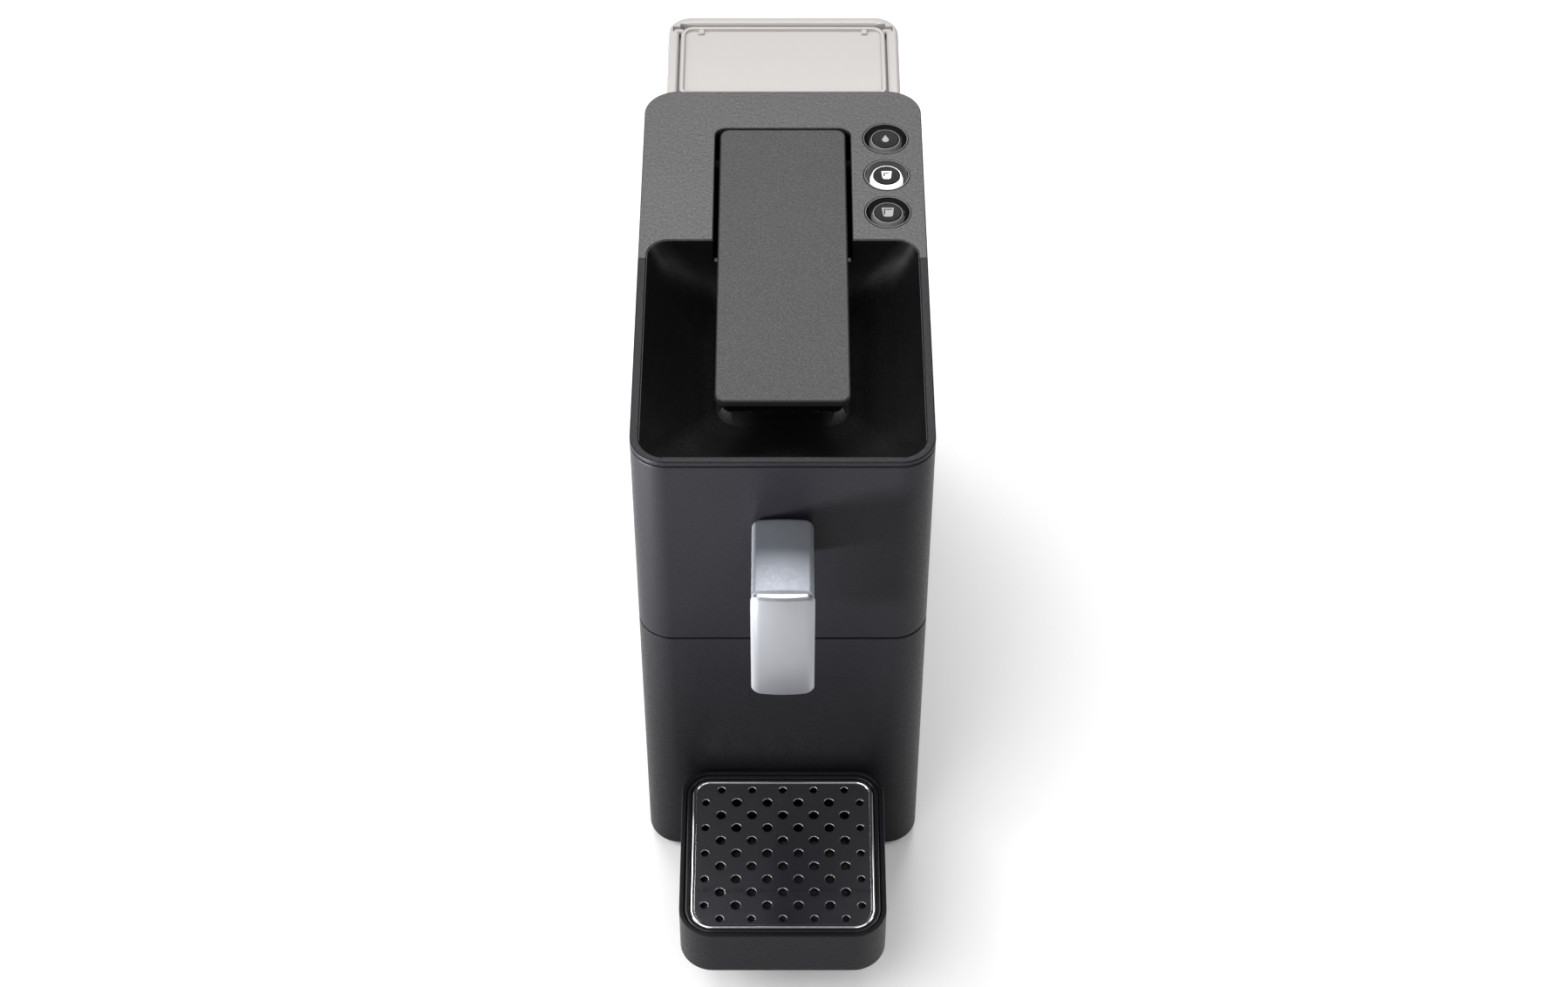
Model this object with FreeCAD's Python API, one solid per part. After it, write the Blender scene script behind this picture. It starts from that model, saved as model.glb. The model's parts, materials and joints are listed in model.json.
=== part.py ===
"""Slim pod coffee machine: millimetres, +Z up, front towards -Y, origin on the table under the middle.

The machine is a tall, narrow body with a capsule lever on top, a metal spout on the front, a
height-adjustable cup rest in front, and a clear water tank behind. Every physical piece is its own
solid, written to parts/NODE.step.
"""

import FreeCAD, Part

import math
import os

from FreeCAD import Vector

# Driving dimensions
body_width = 118.0
body_depth = 217.0
body_top = 253.0
foot_height = 3.0
seam_z = 147.0              # joint line between the upper and lower casing
seam_gap = 0.6
wall = 2.5
body_corner = 14.0
tray_reach = 85.0           # how far the cup rest stands in front of the body
tray_width = 86.0
tray_height = 26.0
tray_bottom = 32.0          # the cup rest in its upper, espresso position
tank_width = 102.0
tank_depth = 57.0
tank_top = 247.0
tank_bottom = 20.5
tank_gap = 1.0              # between the body's back and the tank

# Places worked out from them
half_width = body_width / 2
total_depth = tray_reach + body_depth + tank_gap + tank_depth
front_y = -total_depth / 2 + tray_reach
rear_y = front_y + body_depth
tank_front = rear_y + tank_gap
tank_rear = tank_front + tank_depth
inner_half = half_width - wall
inner_corner = body_corner - wall

# Top cover, bowl and lever
cover_thickness = 2.4
rim_width = 3.5             # frame of the top cover round the bowl
bowl_front = front_y + rim_width + 0.5
bowl_rear = front_y + 124.0
bowl_depth = 30.0
bowl_wall = 2.2
slot_half_width = 28.6      # opening in the cover that the lever lies in
slot_rear = front_y + 193.0
well_floor = 227.0          # underside of the well below the lever's rear half
lever_half_width = 26.5
lever_front = front_y + 31.5
lever_rear = front_y + 191.0
lever_top = 254.0
hinge_y, hinge_z = 79.0, 247.0
crank_y, crank_z = 63.0, 245.0      # link's pin on the lever
yoke_y, yoke_z = 9.0, 204.0         # link's pin in the carriage's slot
pin_radius = 2.5
running_gap = 0.05

# Controls
button_x = 43.4
button_ys = {"rinse": front_y + 186.3, "espresso": front_y + 163.4, "lungo": front_y + 140.6}
bezel_radius = 9.5
cap_radius = 7.0
cap_face_radius = 5.65
board_top = 240.0

# Brew group
chamber_z = 191.0
chamber_half = 23.4
chamber_front, chamber_rear = -45.0, 3.0
duct_z = 207.0
pipe_z = 182.0
pipe_radius = 3.0

# Spout
spout_half = 12.05
spout_top = 222.0
spout_bottom = 163.0
spout_reach = 42.4
spout_front = front_y - spout_reach
outlet_y = front_y - 32.0

# Drawer
drawer_split = front_y + 40.0       # where the drawer's wrap-round front ends on the sides
bin_half = 46.0
bin_rear = 25.0
bin_top = 140.0

# Hose route and seats
cord_x, cord_z = -36.0, 10.7
spigot_y = (tank_front + tank_rear) / 2
pump_x, pump_y = -24.0, 90.0
block_x, block_y = 26.0, 72.0
meter_x, meter_y, meter_z = 26.0, 97.0, 12.0
hose_z = 11.0

X, Y, Z = Vector(1, 0, 0), Vector(0, 1, 0), Vector(0, 0, 1)


# Shape helpers

def rounded_outline(x0, x1, y0, y1, z, radii):
    """Closed wire at height z. radii are front-left, front-right, rear-right and rear-left."""
    corners = [
        (x0, y0, radii[0], (0, 1), (1, 0)),
        (x1, y0, radii[1], (-1, 0), (0, 1)),
        (x1, y1, radii[2], (0, -1), (-1, 0)),
        (x0, y1, radii[3], (1, 0), (0, -1)),
    ]
    edges, ends = [], []
    for cx, cy, r, back, ahead in corners:
        start = Vector(cx + back[0] * r, cy + back[1] * r, z)
        stop = Vector(cx + ahead[0] * r, cy + ahead[1] * r, z)
        ends.append((start, stop))
        if r > 0:
            centre = Vector(cx + (back[0] + ahead[0]) * r, cy + (back[1] + ahead[1]) * r, z)
            middle = centre + (Vector(cx, cy, z) - centre).normalize() * r
            edges.append(Part.Arc(start, middle, stop).toShape())
        else:
            edges.append(None)
    wire = []
    for i, arc in enumerate(edges):
        if arc is not None:
            wire.append(arc)
        following = ends[(i + 1) % 4][0]
        if (following - ends[i][1]).Length > 1e-6:
            wire.append(Part.LineSegment(ends[i][1], following).toShape())
    return Part.Wire(wire)


def prism(x0, x1, y0, y1, z0, z1, radii=0.0):
    """Upright block with rounded vertical edges. radii is one number or four."""
    four = [radii] * 4 if isinstance(radii, (int, float)) else radii
    return Part.Face(rounded_outline(x0, x1, y0, y1, z0, four)).extrude(Vector(0, 0, z1 - z0))


def box(x0, x1, y0, y1, z0, z1):
    return Part.makeBox(x1 - x0, y1 - y0, z1 - z0, Vector(x0, y0, z0))


def rod(start, end, radius):
    """Cylinder from start to end, given as (x, y, z)."""
    a, b = Vector(*start), Vector(*end)
    return Part.makeCylinder(radius, (b - a).Length, a, b - a)


def pair(shape):
    """The shape and its mirror image on the other side of the machine, fused."""
    return shape.fuse(shape.mirror(Vector(0, 0, 0), X))


def turned(points, x, y):
    """Solid of revolution about a vertical line at (x, y). points are (radius, z)."""
    wire = Part.makePolygon([Vector(r, 0, z) for r, z in points + points[:1]])
    solid = Part.Face(wire).revolve(Vector(0, 0, 0), Z, 360)
    solid.translate(Vector(x, y, 0))
    return solid


def side_profile(points, half_thickness, x=0.0):
    """Block cut to an outline in the YZ plane, thick along X. points are (y, z)."""
    wire = Part.makePolygon([Vector(x - half_thickness, y, z) for y, z in points + points[:1]])
    return Part.Face(wire).extrude(Vector(2 * half_thickness, 0, 0))


def edges_where(shape, test):
    """Edges whose bounding box passes the test."""
    return [e for e in shape.Edges if test(e.BoundBox)]


def soften(shape, radius, test):
    return shape.makeFillet(radius, edges_where(shape, test))


def level(z):
    """Test for edges lying flat at height z."""
    return lambda b: abs(b.ZMin - z) < 1e-3 and abs(b.ZMax - z) < 1e-3


def pipe(points, radii, outer, inner=0.0):
    """Tube of straight runs joined by tangent arcs. radii are the bends' radii in order."""
    edges, at = [], Vector(*points[0])
    for i, radius in enumerate(radii):
        corner = Vector(*points[i + 1])
        back = (at - corner).normalize()
        ahead = (Vector(*points[i + 2]) - corner).normalize()
        half = back.getAngle(ahead) / 2
        reach = radius / math.tan(half)
        start, stop = corner + back * reach, corner + ahead * reach
        centre = corner + (back + ahead).normalize() * (radius / math.sin(half))
        middle = centre + (corner - centre).normalize() * radius
        edges.append(Part.LineSegment(at, start).toShape())
        edges.append(Part.Arc(start, middle, stop).toShape())
        at = stop
    edges.append(Part.LineSegment(at, Vector(*points[-1])).toShape())
    path = Part.Wire(edges)
    normal = Vector(*points[1]) - Vector(*points[0])

    def swept(radius):
        circle = Part.Wire(Part.makeCircle(radius, Vector(*points[0]), normal))
        return path.makePipeShell([circle], True, True)

    return swept(outer).cut(swept(inner)) if inner else swept(outer)


# Casing

def base_pan():
    """Bottom pan, with the raised hollow seat for the tank behind the body."""
    floor = prism(-55.8, 55.8, front_y + 3.4, rear_y - wall - 0.4, foot_height, 6.0, 11.0)
    seat = prism(-50, 50, rear_y - 8, tank_rear - 1, foot_height, 18.0, [0, 0, 9, 9])
    hollow = prism(-47.6, 47.6, rear_y - 9, tank_rear - 3.4, 5.2, 16.2, [0, 0, 6.6, 6.6])
    pan = floor.fuse(seat).cut(hollow)
    spigot = turned([(0, 7.4), (6.0, 7.4), (6.0, 22.0), (3.6, 22.6), (1.4, 23.3), (0, 23.3)], 0, spigot_y)
    barb = rod((0, spigot_y, hose_z), (0, spigot_y - 14, hose_z), 3.2)
    pan = pan.fuse(spigot).fuse(barb)
    pan = pan.cut(rod((0, spigot_y - 15, hose_z), (0, spigot_y + 2, hose_z), 2.0))
    for a in range(3):
        angle = math.radians(120 * a + 30)
        x, y = 3.4 * math.cos(angle), spigot_y + 3.4 * math.sin(angle)
        pan = pan.cut(rod((x, y, hose_z - 1), (x, y, 24), 1.1))
    pan = pan.cut(rod((cord_x, tank_rear - 6, cord_z), (cord_x, tank_rear + 1, cord_z), 4.4))
    for x, y in foot_places():
        pan = pan.cut(rod((x, y, foot_height - 0.1), (x, y, 4.6), 3.05))
    for x, y in casing_bosses():
        pan = pan.cut(rod((x, y, 2), (x, y, 7), 1.9))
        pan = pan.cut(rod((x, y, 2), (x, y, 4.4), 3.4))
    return pan


def foot_places():
    return [(-42, front_y + 20), (42, front_y + 20), (-36, tank_rear - 16), (36, tank_rear - 16)]


def rubber_feet():
    feet = []
    for x, y in foot_places():
        profile = [(0, 0), (6.4, 0), (7.5, 1.1), (7.5, foot_height), (3, foot_height), (3, 4.5), (0, 4.5)]
        feet.append(turned(profile, x, y))
    return Part.makeCompound(feet)


def casing_bosses():
    return [(-51.6, -40), (51.6, -40), (-51.6, 101), (51.6, 101)]


def lower_casing():
    """Side and rear walls below the seam. The drawer closes its open front."""
    top = seam_z - seam_gap / 2
    shell = prism(-half_width, half_width, drawer_split, rear_y, 3.6, top, [0, 0, body_corner, body_corner])
    shell = soften(shell, 0.5, lambda b: level(top)(b) and b.YMax > drawer_split + 1)
    shell = soften(shell, 0.8, lambda b: level(3.6)(b) and b.YMax > drawer_split + 1)
    inside = prism(-inner_half, inner_half, drawer_split - 1, rear_y - wall, 3, top + 1,
                   [0, 0, inner_corner, inner_corner])
    shell = shell.cut(inside)
    shell = shell.cut(box(-50.5, 50.5, rear_y - 10, rear_y + 1, 3, 18.5))
    for x, y in casing_bosses():
        side = math.copysign(1, x)
        boss = rod((x, y, 6.2), (x, y, 30), 4.0)
        web = box(min(x, side * (inner_half + 0.5)), max(x, side * (inner_half + 0.5)), y - 1.5, y + 1.5, 6.2, 30)
        shell = shell.fuse(boss).fuse(web).cut(rod((x, y, 5), (x, y, 26), 1.4))
    return shell.removeSplitter()


def screws():
    """Identical cross-head screws: four up through the pan, four down through the brew group's feet."""
    made = []
    for x, y in casing_bosses():
        made.append(screw(x, y, 4.4, 1))
    for x, y in housing_feet():
        made.append(screw(x, y, 152, -1))
    return Part.makeCompound(made)


def screw(x, y, z, way):
    """One screw with its head's underside at z and its shank running up (way 1) or down (way -1)."""
    head = rod((x, y, z), (x, y, z - way * 1.2), 3.2)
    cross = box(x - 1.8, x + 1.8, y - 0.4, y + 0.4, z - 1.3, z - 0.6).fuse(
        box(x - 0.4, x + 0.4, y - 1.8, y + 1.8, z - 1.3, z - 0.6))
    if way < 0:
        cross.translate(Vector(0, 0, 1.9))
    return head.fuse(rod((x, y, z), (x, y, z + way * 5.6), 1.35)).cut(cross)


def upper_casing():
    """One-piece wrap above the seam, with the opening that the spout comes through."""
    bottom, top = seam_z + seam_gap / 2, body_top - cover_thickness - 0.4
    shell = prism(-half_width, half_width, front_y, rear_y, bottom, top, body_corner)
    shell = soften(shell, 0.5, lambda b: level(bottom)(b) or level(top)(b))
    inside = prism(-inner_half, inner_half, front_y + wall, rear_y - wall, bottom - 1, top + 1, inner_corner)
    shell = shell.cut(inside)
    shell = shell.cut(prism(-9, 9, front_y - 1, front_y + 4, 199.5, 218.5))
    for x in (-51.5, 51.5):
        for y in (bowl_rear + 12, rear_y - 12):
            side = math.copysign(1, x)
            boss = rod((x, y, 205), (x, y, 236), 3.6)
            web = box(min(x, side * (inner_half + 0.5)), max(x, side * (inner_half + 0.5)), y - 1.2, y + 1.2, 205, 236)
            shell = shell.fuse(boss).fuse(web).cut(rod((x, y, 210), (x, y, 237), 1.4))
    return shell.removeSplitter()


def chassis_frame():
    """Shelf that carries the brew group, and the bulkhead behind the capsule drawer."""
    shelf = prism(-55.8, 55.8, front_y + 3.2, rear_y - wall - 0.4, 146.2, 149.2, 10.8)
    drop = box(-24, 24, -41.5, 28, 145, 151)
    rear_bay = box(-50, 50, 37, 112, 145, 151)
    bulkhead = box(-55.8, 55.8, 30, 33, 6.0, 146.2)
    frame = shelf.fuse(bulkhead).cut(drop).cut(rear_bay)
    for x in (-52, 2, 52):
        frame = frame.fuse(box(x - 1.2, x + 1.2, 33, 39, 60, 146.2))
    for x, y in housing_feet():
        frame = frame.cut(rod((x, y, 145), (x, y, 150), 1.4))
    for y in (53, 97):
        frame = frame.fuse(box(-54, -46, y - 4, y + 4, 149.2, 155.9))
        frame = frame.fuse(box(-54, -50.05, y - 4, y + 4, 155.9, 161))
    return frame.removeSplitter()


def cord_inlet():
    """Rubber bushing in the seat's rear wall that the mains lead comes out of."""
    profile = [(3.3, -6), (5.3, -6), (5.3, -3.5), (4.3, -3.5), (4.3, -0.95), (5.8, -0.95), (5.0, 0), (3.3, 0)]
    bushing = turned(profile, 0, 0)
    bushing.rotate(Vector(0, 0, 0), X, -90)
    bushing.translate(Vector(cord_x, tank_rear, cord_z))
    return bushing


# Top cover, bowl and lever

def top_cover():
    """Deck with the three button holes, the thin rim round the bowl, and the well under the lever."""
    bottom = body_top - cover_thickness
    deck = prism(-half_width, half_width, front_y, rear_y, bottom, body_top, body_corner)
    deck = soften(deck, 1.1, level(body_top))
    skirt = prism(-inner_half + 0.3, inner_half - 0.3, front_y + wall + 0.3, rear_y - wall - 0.3,
                  bottom - 5, bottom, inner_corner - 0.3)
    skirt_hole = prism(-inner_half + 1.3, inner_half - 1.3, front_y + wall + 1.3, rear_y - wall - 1.3,
                       bottom - 6, bottom, inner_corner - 1.3)
    well = prism(-slot_half_width - 2, slot_half_width + 2, bowl_rear + 2.6, slot_rear + 2,
                 well_floor, bottom, 2.0)
    cover = deck.fuse(skirt.cut(skirt_hole)).fuse(well)
    cover = cover.cut(prism(-half_width + rim_width, half_width - rim_width, bowl_front, bowl_rear,
                            bottom - 7, body_top + 1, [11, 11, 9, 9]))
    cover = cover.cut(prism(-slot_half_width, slot_half_width, bowl_rear - 6, slot_rear,
                            well_floor + 2, body_top + 1, [0, 0, 4.5, 4.5]))
    cover = cover.cut(box(-15, 15, bowl_rear + 2, 78, well_floor - 1, well_floor + 3))
    for y in button_ys.values():
        cover = cover.cut(rod((button_x, y, bottom - 6), (button_x, y, body_top + 1), bezel_radius))
    for x, y in board_posts():
        cover = cover.fuse(rod((x, y, board_top), (x, y, bottom), 2.0))
    for side in (-1, 1):
        ear = rod((side * 23.4, hinge_y, hinge_z), (side * slot_half_width, hinge_y, hinge_z), 3.4)
        foot = box(min(side * 23.4, side * slot_half_width), max(side * 23.4, side * slot_half_width),
                   hinge_y - 3.4, hinge_y + 3.4, well_floor + 1, hinge_z)
        cover = cover.fuse(ear).fuse(foot)
        cover = cover.cut(rod((side * 23, hinge_y, hinge_z), (side * 28.4, hinge_y, hinge_z), 2.03))
    return cover.removeSplitter()


def board_posts():
    ys = sorted(button_ys.values())
    return [(x, y) for x in (35.4, 52.4) for y in (ys[0] - 12, ys[-1] + 12)]


def bowl_section(depth, side, front, rear, radius, grow):
    """One level of the bowl: how far its sides, front and rear have come in at that depth."""
    x = half_width - rim_width - 0.2 - side + grow
    return rounded_outline(-x, x, bowl_front + 0.2 + front - grow, bowl_rear - 0.2 - rear + grow,
                           body_top - 0.4 - depth, [radius + grow] * 4)


def bowl_solid(grow, extra):
    """The bowl's hollow, or with grow its outside. The rear wall is steep and the front slopes."""
    levels = [
        (0.0, 0.0, 0.0, 0.0, 9.0),
        (7.0, 3.2, 5.0, 1.2, 11.0),
        (15.0, 9.0, 14.0, 3.4, 13.0),
        (22.0, 16.0, 25.0, 7.0, 14.0),
        (27.0, 22.5, 35.0, 11.5, 13.0),
        (bowl_depth, 29.0, 45.0, 17.0, 9.0),
    ]
    wires = []
    for depth, side, front, rear, radius in levels:
        wires.append(bowl_section(depth + extra * depth / bowl_depth, side, front, rear, radius, grow))
    return Part.makeLoft(wires, True, False)


def top_bowl():
    """Glossy funnel that the lever hangs over, with the capsule slot and its chute below."""
    cup = bowl_solid(bowl_wall - 0.15, bowl_wall).common(
        box(-half_width, half_width, front_y, rear_y, 150, body_top - 0.4))
    outer_fit = prism(-half_width + rim_width + 0.15, half_width - rim_width - 0.15, bowl_front + 0.15,
                      bowl_rear - 0.15, 150, body_top, [10.8, 10.8, 8.8, 8.8])
    inside_skirt = prism(-half_width + rim_width - 0.5, half_width - rim_width + 0.5, bowl_front - 1.0,
                         bowl_rear + 1.2, 150, body_top - cover_thickness - 5.2, 12)
    cup = cup.common(outer_fit.fuse(inside_skirt))
    chute = prism(-26, 26, -41, 6, 214.6, 222.2, 3.0)
    cup = cup.fuse(chute)
    cup = cup.cut(bowl_solid(0.0, 0.0))
    cup = cup.cut(prism(-23.6, 23.6, -38.6, 3.6, 210, 226, 2.0))
    cup = cup.cut(box(-slot_half_width, slot_half_width, bowl_rear - 24, bowl_rear + 2, 242.6, body_top + 1))
    return cup.removeSplitter()


def lever_cover():
    """Flat grip plate on top of the lever."""
    plate = prism(-lever_half_width, lever_half_width, lever_front, lever_rear, lever_top - 3.4, lever_top, 4.2)
    plate = soften(plate, 0.9, level(lever_top))
    return soften(plate, 0.6, level(lever_top - 3.4))


def lever_frame():
    """Body of the lever under the plate: its sides draw in, and cheeks carry the two pins."""
    top, bottom = lever_top - 3.4, 244.6
    upper = rounded_outline(-lever_half_width + 1.2, lever_half_width - 1.2, lever_front + 1.2, 70,
                            top, [3.4, 3.4, 2, 2])
    lower = rounded_outline(-lever_half_width + 3.6, lever_half_width - 3.6, lever_front + 4.2, 70,
                            bottom, [2.6, 2.6, 2, 2])
    frame = Part.makeLoft([lower, upper], True, True)
    pocket = box(-20, 20, -10, 66, bottom - 1, top - 1.6)
    frame = frame.cut(pocket)
    spine = box(-22.4, 22.4, 66, 85, top - 2.0, top)
    frame = frame.fuse(spine)
    for side in (-1, 1):
        cheek = side_profile([(56, 241.2), (68, 241.2), (hinge_y + 3, 243.6), (hinge_y + 3.6, top), (56, top)],
                             2.2, side * 17.2)
        frame = frame.fuse(cheek)
    frame = frame.cut(box(-14.4, 14.4, 20, 70.4, bottom - 4, top + 1))
    frame = frame.cut(rod((-24, hinge_y, hinge_z), (24, hinge_y, hinge_z), 2.0 + running_gap))
    frame = frame.cut(rod((-24, crank_y, crank_z), (24, crank_y, crank_z), 2.03))
    return frame.removeSplitter()


def lever_hinge_pin():
    return rod((-28.4, hinge_y, hinge_z), (28.4, hinge_y, hinge_z), 2.0)


def crank_pin():
    return rod((-19.2, crank_y, crank_z), (19.2, crank_y, crank_z), 2.0)


def link_bars():
    """Two bars that tie the lever to the brew carriage."""
    along = Vector(0, yoke_y - crank_y, yoke_z - crank_z)
    half = 4.4
    across = X.cross(along).normalize() * half
    bars = []
    for side in (-1, 1):
        inner, outer = side * 11.2 - 1.5, side * 11.2 + 1.5
        crank, yoke = Vector(inner, crank_y, crank_z), Vector(inner, yoke_y, yoke_z)
        shank = Part.Face(Part.makePolygon([crank + across, yoke + across, yoke - across, crank - across,
                                            crank + across])).extrude(Vector(3, 0, 0))
        bar = shank.fuse(rod((inner, crank_y, crank_z), (outer, crank_y, crank_z), half))
        bar = bar.fuse(rod((inner, yoke_y, yoke_z), (outer, yoke_y, yoke_z), half))
        bar = bar.cut(rod((inner - 1, crank_y, crank_z), (outer + 1, crank_y, crank_z), 2.0 + running_gap))
        bars.append(bar.cut(rod((inner - 1, yoke_y, yoke_z), (outer + 1, yoke_y, yoke_z), pin_radius + 0.03)))
    return Part.makeCompound(bars)


def yoke_pin():
    return rod((-13.4, yoke_y, yoke_z), (13.4, yoke_y, yoke_z), pin_radius)


# Brew group

def brew_housing():
    """Channel round the capsule chamber, open below so that the spent capsule drops out."""
    wall_outer = chamber_half + 3
    housing = pair(box(chamber_half, wall_outer, chamber_front - 4, 62, 164, 214))
    housing = housing.fuse(box(-wall_outer, wall_outer, chamber_front - 4, chamber_front, 164, 214))
    housing = housing.fuse(box(-wall_outer, wall_outer, 62, 66, 164, 200))
    for y0, y1 in ((chamber_front - 4, chamber_front + 6), (50, 62)):
        housing = housing.fuse(pair(box(chamber_half, wall_outer, y0, y1, 149.2, 164)))
        housing = housing.fuse(pair(box(wall_outer, wall_outer + 7, y0, y1, 149.2, 152)))
    housing = housing.fuse(pair(box(21.2, chamber_half, -8, -6, 170, 214)))
    housing = housing.fuse(pair(box(19.4, chamber_half, 4, 60, 164, 167)))
    for x, y in housing_feet():
        housing = housing.cut(rod((x, y, 149), (x, y, 153), 1.6))
    housing = housing.cut(rod((0, chamber_front - 5, duct_z), (0, chamber_front + 1, duct_z), 4.0))
    housing = housing.cut(rod((0, 61, pipe_z), (0, 67, pipe_z), 5.0))
    return housing.removeSplitter()


def housing_feet():
    return [(x, y) for x in (-30.2, 30.2) for y in (-45, 56)]


def pipe_seal_block():
    """Gland at the rear of the housing that the carriage's water pipe slides through."""
    gland = rod((0, 66, pipe_z), (0, 79, pipe_z), 9)
    gland = gland.fuse(rod((7, block_y, pipe_z), (14, block_y, pipe_z), 3.4))
    gland = gland.cut(rod((0, 65, pipe_z), (0, 80, pipe_z), pipe_radius + running_gap))
    return gland.cut(rod((0, block_y, pipe_z), (15, block_y, pipe_z), 1.2))


def outlet_plate():
    """Steel plate at the front of the chamber that pierces the capsule's lid."""
    plate = rod((0, chamber_front, chamber_z), (0, chamber_front + 1.2, chamber_z), 17.6)
    for ring, count in ((5, 6), (10, 10)):
        for i in range(count):
            a = 2 * math.pi * i / count
            x, z = ring * math.cos(a), chamber_z + ring * math.sin(a)
            plate = plate.fuse(Part.makeCone(1.0, 0.2, 2.2, Vector(x, chamber_front + 1.2, z), Y))
    return plate.cut(rod((0, chamber_front - 1, duct_z - 1), (0, chamber_front + 2, duct_z - 1), 1.6))


def outlet_gasket():
    ring = rod((0, chamber_front, chamber_z), (0, chamber_front + 2.0, chamber_z), 21)
    return ring.cut(rod((0, chamber_front - 1, chamber_z), (0, chamber_front + 3, chamber_z), 17.8))


def coffee_duct():
    """Silicone elbow from the chamber to the spout's nozzle."""
    start = (0, chamber_front - 0.2, duct_z)
    return pipe([start, (0, outlet_y, duct_z), (0, outlet_y, spout_bottom + 6)], [7], 3.6, 2.2)


def carriage():
    """Sliding block that closes on the capsule. Its web holds the slot for the link's pin."""
    half = chamber_half - 0.4
    block = box(-half, half, chamber_rear, chamber_rear + 22, 167.4, 196)
    web = box(-8, 8, chamber_rear - 1.8, chamber_rear + 18, 196, 211)
    body = block.fuse(web)
    slot_centre = yoke_y + 0.43
    straight, height = 2.4, pin_radius + 0.8
    slot = box(-9, 9, slot_centre - straight, slot_centre + straight, yoke_z - height, yoke_z + height)
    for end in (-straight, straight):
        slot = slot.fuse(rod((-9, slot_centre + end, yoke_z), (9, slot_centre + end, yoke_z), height))
    body = body.cut(slot)
    body = body.cut(rod((0, chamber_rear - 1, pipe_z), (0, chamber_rear + 3, pipe_z), 13.0))
    body = body.cut(rod((0, chamber_rear + 2, pipe_z), (0, chamber_rear + 30, pipe_z), pipe_radius + 0.03))
    for x in (-16, 16):
        body = body.cut(box(x - 4, x + 4, chamber_rear + 6, chamber_rear + 30, 171, 192))
    return body.removeSplitter()


def injector_plate():
    """Steel disc with three needles in the carriage's face."""
    plate = rod((0, chamber_rear + 0.8, pipe_z), (0, chamber_rear + 3, pipe_z), 10.8)
    for i in range(3):
        a = math.radians(90 + 120 * i)
        x, z = 6 * math.cos(a), pipe_z + 6 * math.sin(a)
        plate = plate.fuse(Part.makeCone(1.0, 0.2, 3.0, Vector(x, chamber_rear + 0.8, z), -Y))
    return plate.cut(rod((0, chamber_rear, pipe_z), (0, chamber_rear + 4, pipe_z), 1.5))


def injector_seal():
    ring = rod((0, chamber_rear - 0.6, pipe_z), (0, chamber_rear + 3, pipe_z), 12.9)
    return ring.cut(rod((0, chamber_rear - 1, pipe_z), (0, chamber_rear + 4, pipe_z), 10.9))


def injector_pipe():
    """Steel water pipe that moves with the carriage and slides in the rear gland."""
    tube = rod((0, chamber_rear + 3, pipe_z), (0, 84, pipe_z), pipe_radius)
    return tube.cut(rod((0, chamber_rear + 2, pipe_z), (0, 85, pipe_z), 1.8))


# Spout

def spout_arm():
    """Metal-look arm: an upside-down L that carries the duct forward and down to the nozzle."""
    back = spout_front + 3.6
    flat = box(-spout_half, spout_half, back, front_y - 0.1, duct_z - 5.6, spout_top - 0.3)
    leg = box(-spout_half, spout_half, back, outlet_y + 7.2, spout_bottom + 2, spout_top - 0.3)
    arm = flat.fuse(leg).removeSplitter()
    arm = soften(arm, 2.0, lambda b: level(spout_top - 0.3)(b) and b.YMax - b.YMin > 5)
    arm = soften(arm, 3.0, lambda b: b.ZMax - b.ZMin > 10 and abs(b.YMin - (front_y - 0.1)) < 1e-3)
    arm = arm.cut(rod((0, front_y + 1, duct_z), (0, outlet_y, duct_z), 4.4))
    arm = arm.cut(rod((0, outlet_y, spout_bottom), (0, outlet_y, duct_z + 4.4), 5.4))
    return arm


def spout_cover():
    """Bright plate on the front of the spout."""
    width = spout_half + 0.35
    plate = box(-width, width, spout_front, spout_front + 3.4, spout_bottom, spout_top)
    plate = soften(plate, 3.6, lambda b: b.YMax - b.YMin > 3 and b.XMax - b.XMin < 1e-6 and b.ZMax - b.ZMin < 1e-6)
    return soften(plate, 0.9, lambda b: abs(b.YMax - spout_front) < 1e-3)


def spout_nozzle():
    low = spout_bottom
    profile = [(2.2, low - 2.5), (3.8, low - 2.5), (5.35, low + 0.5), (5.35, low + 5.6), (2.2, low + 5.6)]
    return turned(profile, 0, outlet_y)


# Controls

def button_bezels():
    """Three glossy dishes that the buttons sit in."""
    rings = []
    for y in button_ys.values():
        profile = [(9.4, 252.8), (9.4, 247.0), (7.3, 247.0), (7.3, 249.9), (7.9, 249.9), (8.9, 252.8)]
        rings.append(turned(profile, button_x, y))
    return Part.makeCompound(rings)


def light_ring(y):
    """Light-conducting collar of a button. It moves with the cap."""
    profile = [(4.2, 246.6), (cap_radius, 246.6), (cap_radius, 250.3), (6.1, 252.6), (5.8, 252.6), (5.8, 251.2), (4.2, 251.2)]
    return turned(profile, button_x, y)


def button_cap(y):
    """Dark touch face with a stem down to its switch."""
    profile = [(0, 246.4), (2.2, 246.4), (2.2, 249.8), (4.15, 249.8), (4.15, 251.25), (cap_face_radius, 251.25),
               (cap_face_radius, 252.7), (cap_face_radius - 0.4, 253.0), (0, 253.0)]
    return turned(profile, button_x, y)


def button_board():
    """Circuit board under the deck that carries the three switches."""
    ys = sorted(button_ys.values())
    return prism(33.0, 54.8, ys[0] - 14.5, ys[-1] + 14.5, board_top - 1.6, board_top, 1.5)


def tact_switches():
    switches = []
    for y in button_ys.values():
        case = box(button_x - 3, button_x + 3, y - 3, y + 3, board_top, 243.4)
        switches.append(case.fuse(rod((button_x, y, 243.4), (button_x, y, 245.0), 1.7)))
    return Part.makeCompound(switches)


# Drawer and cup rest

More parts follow.
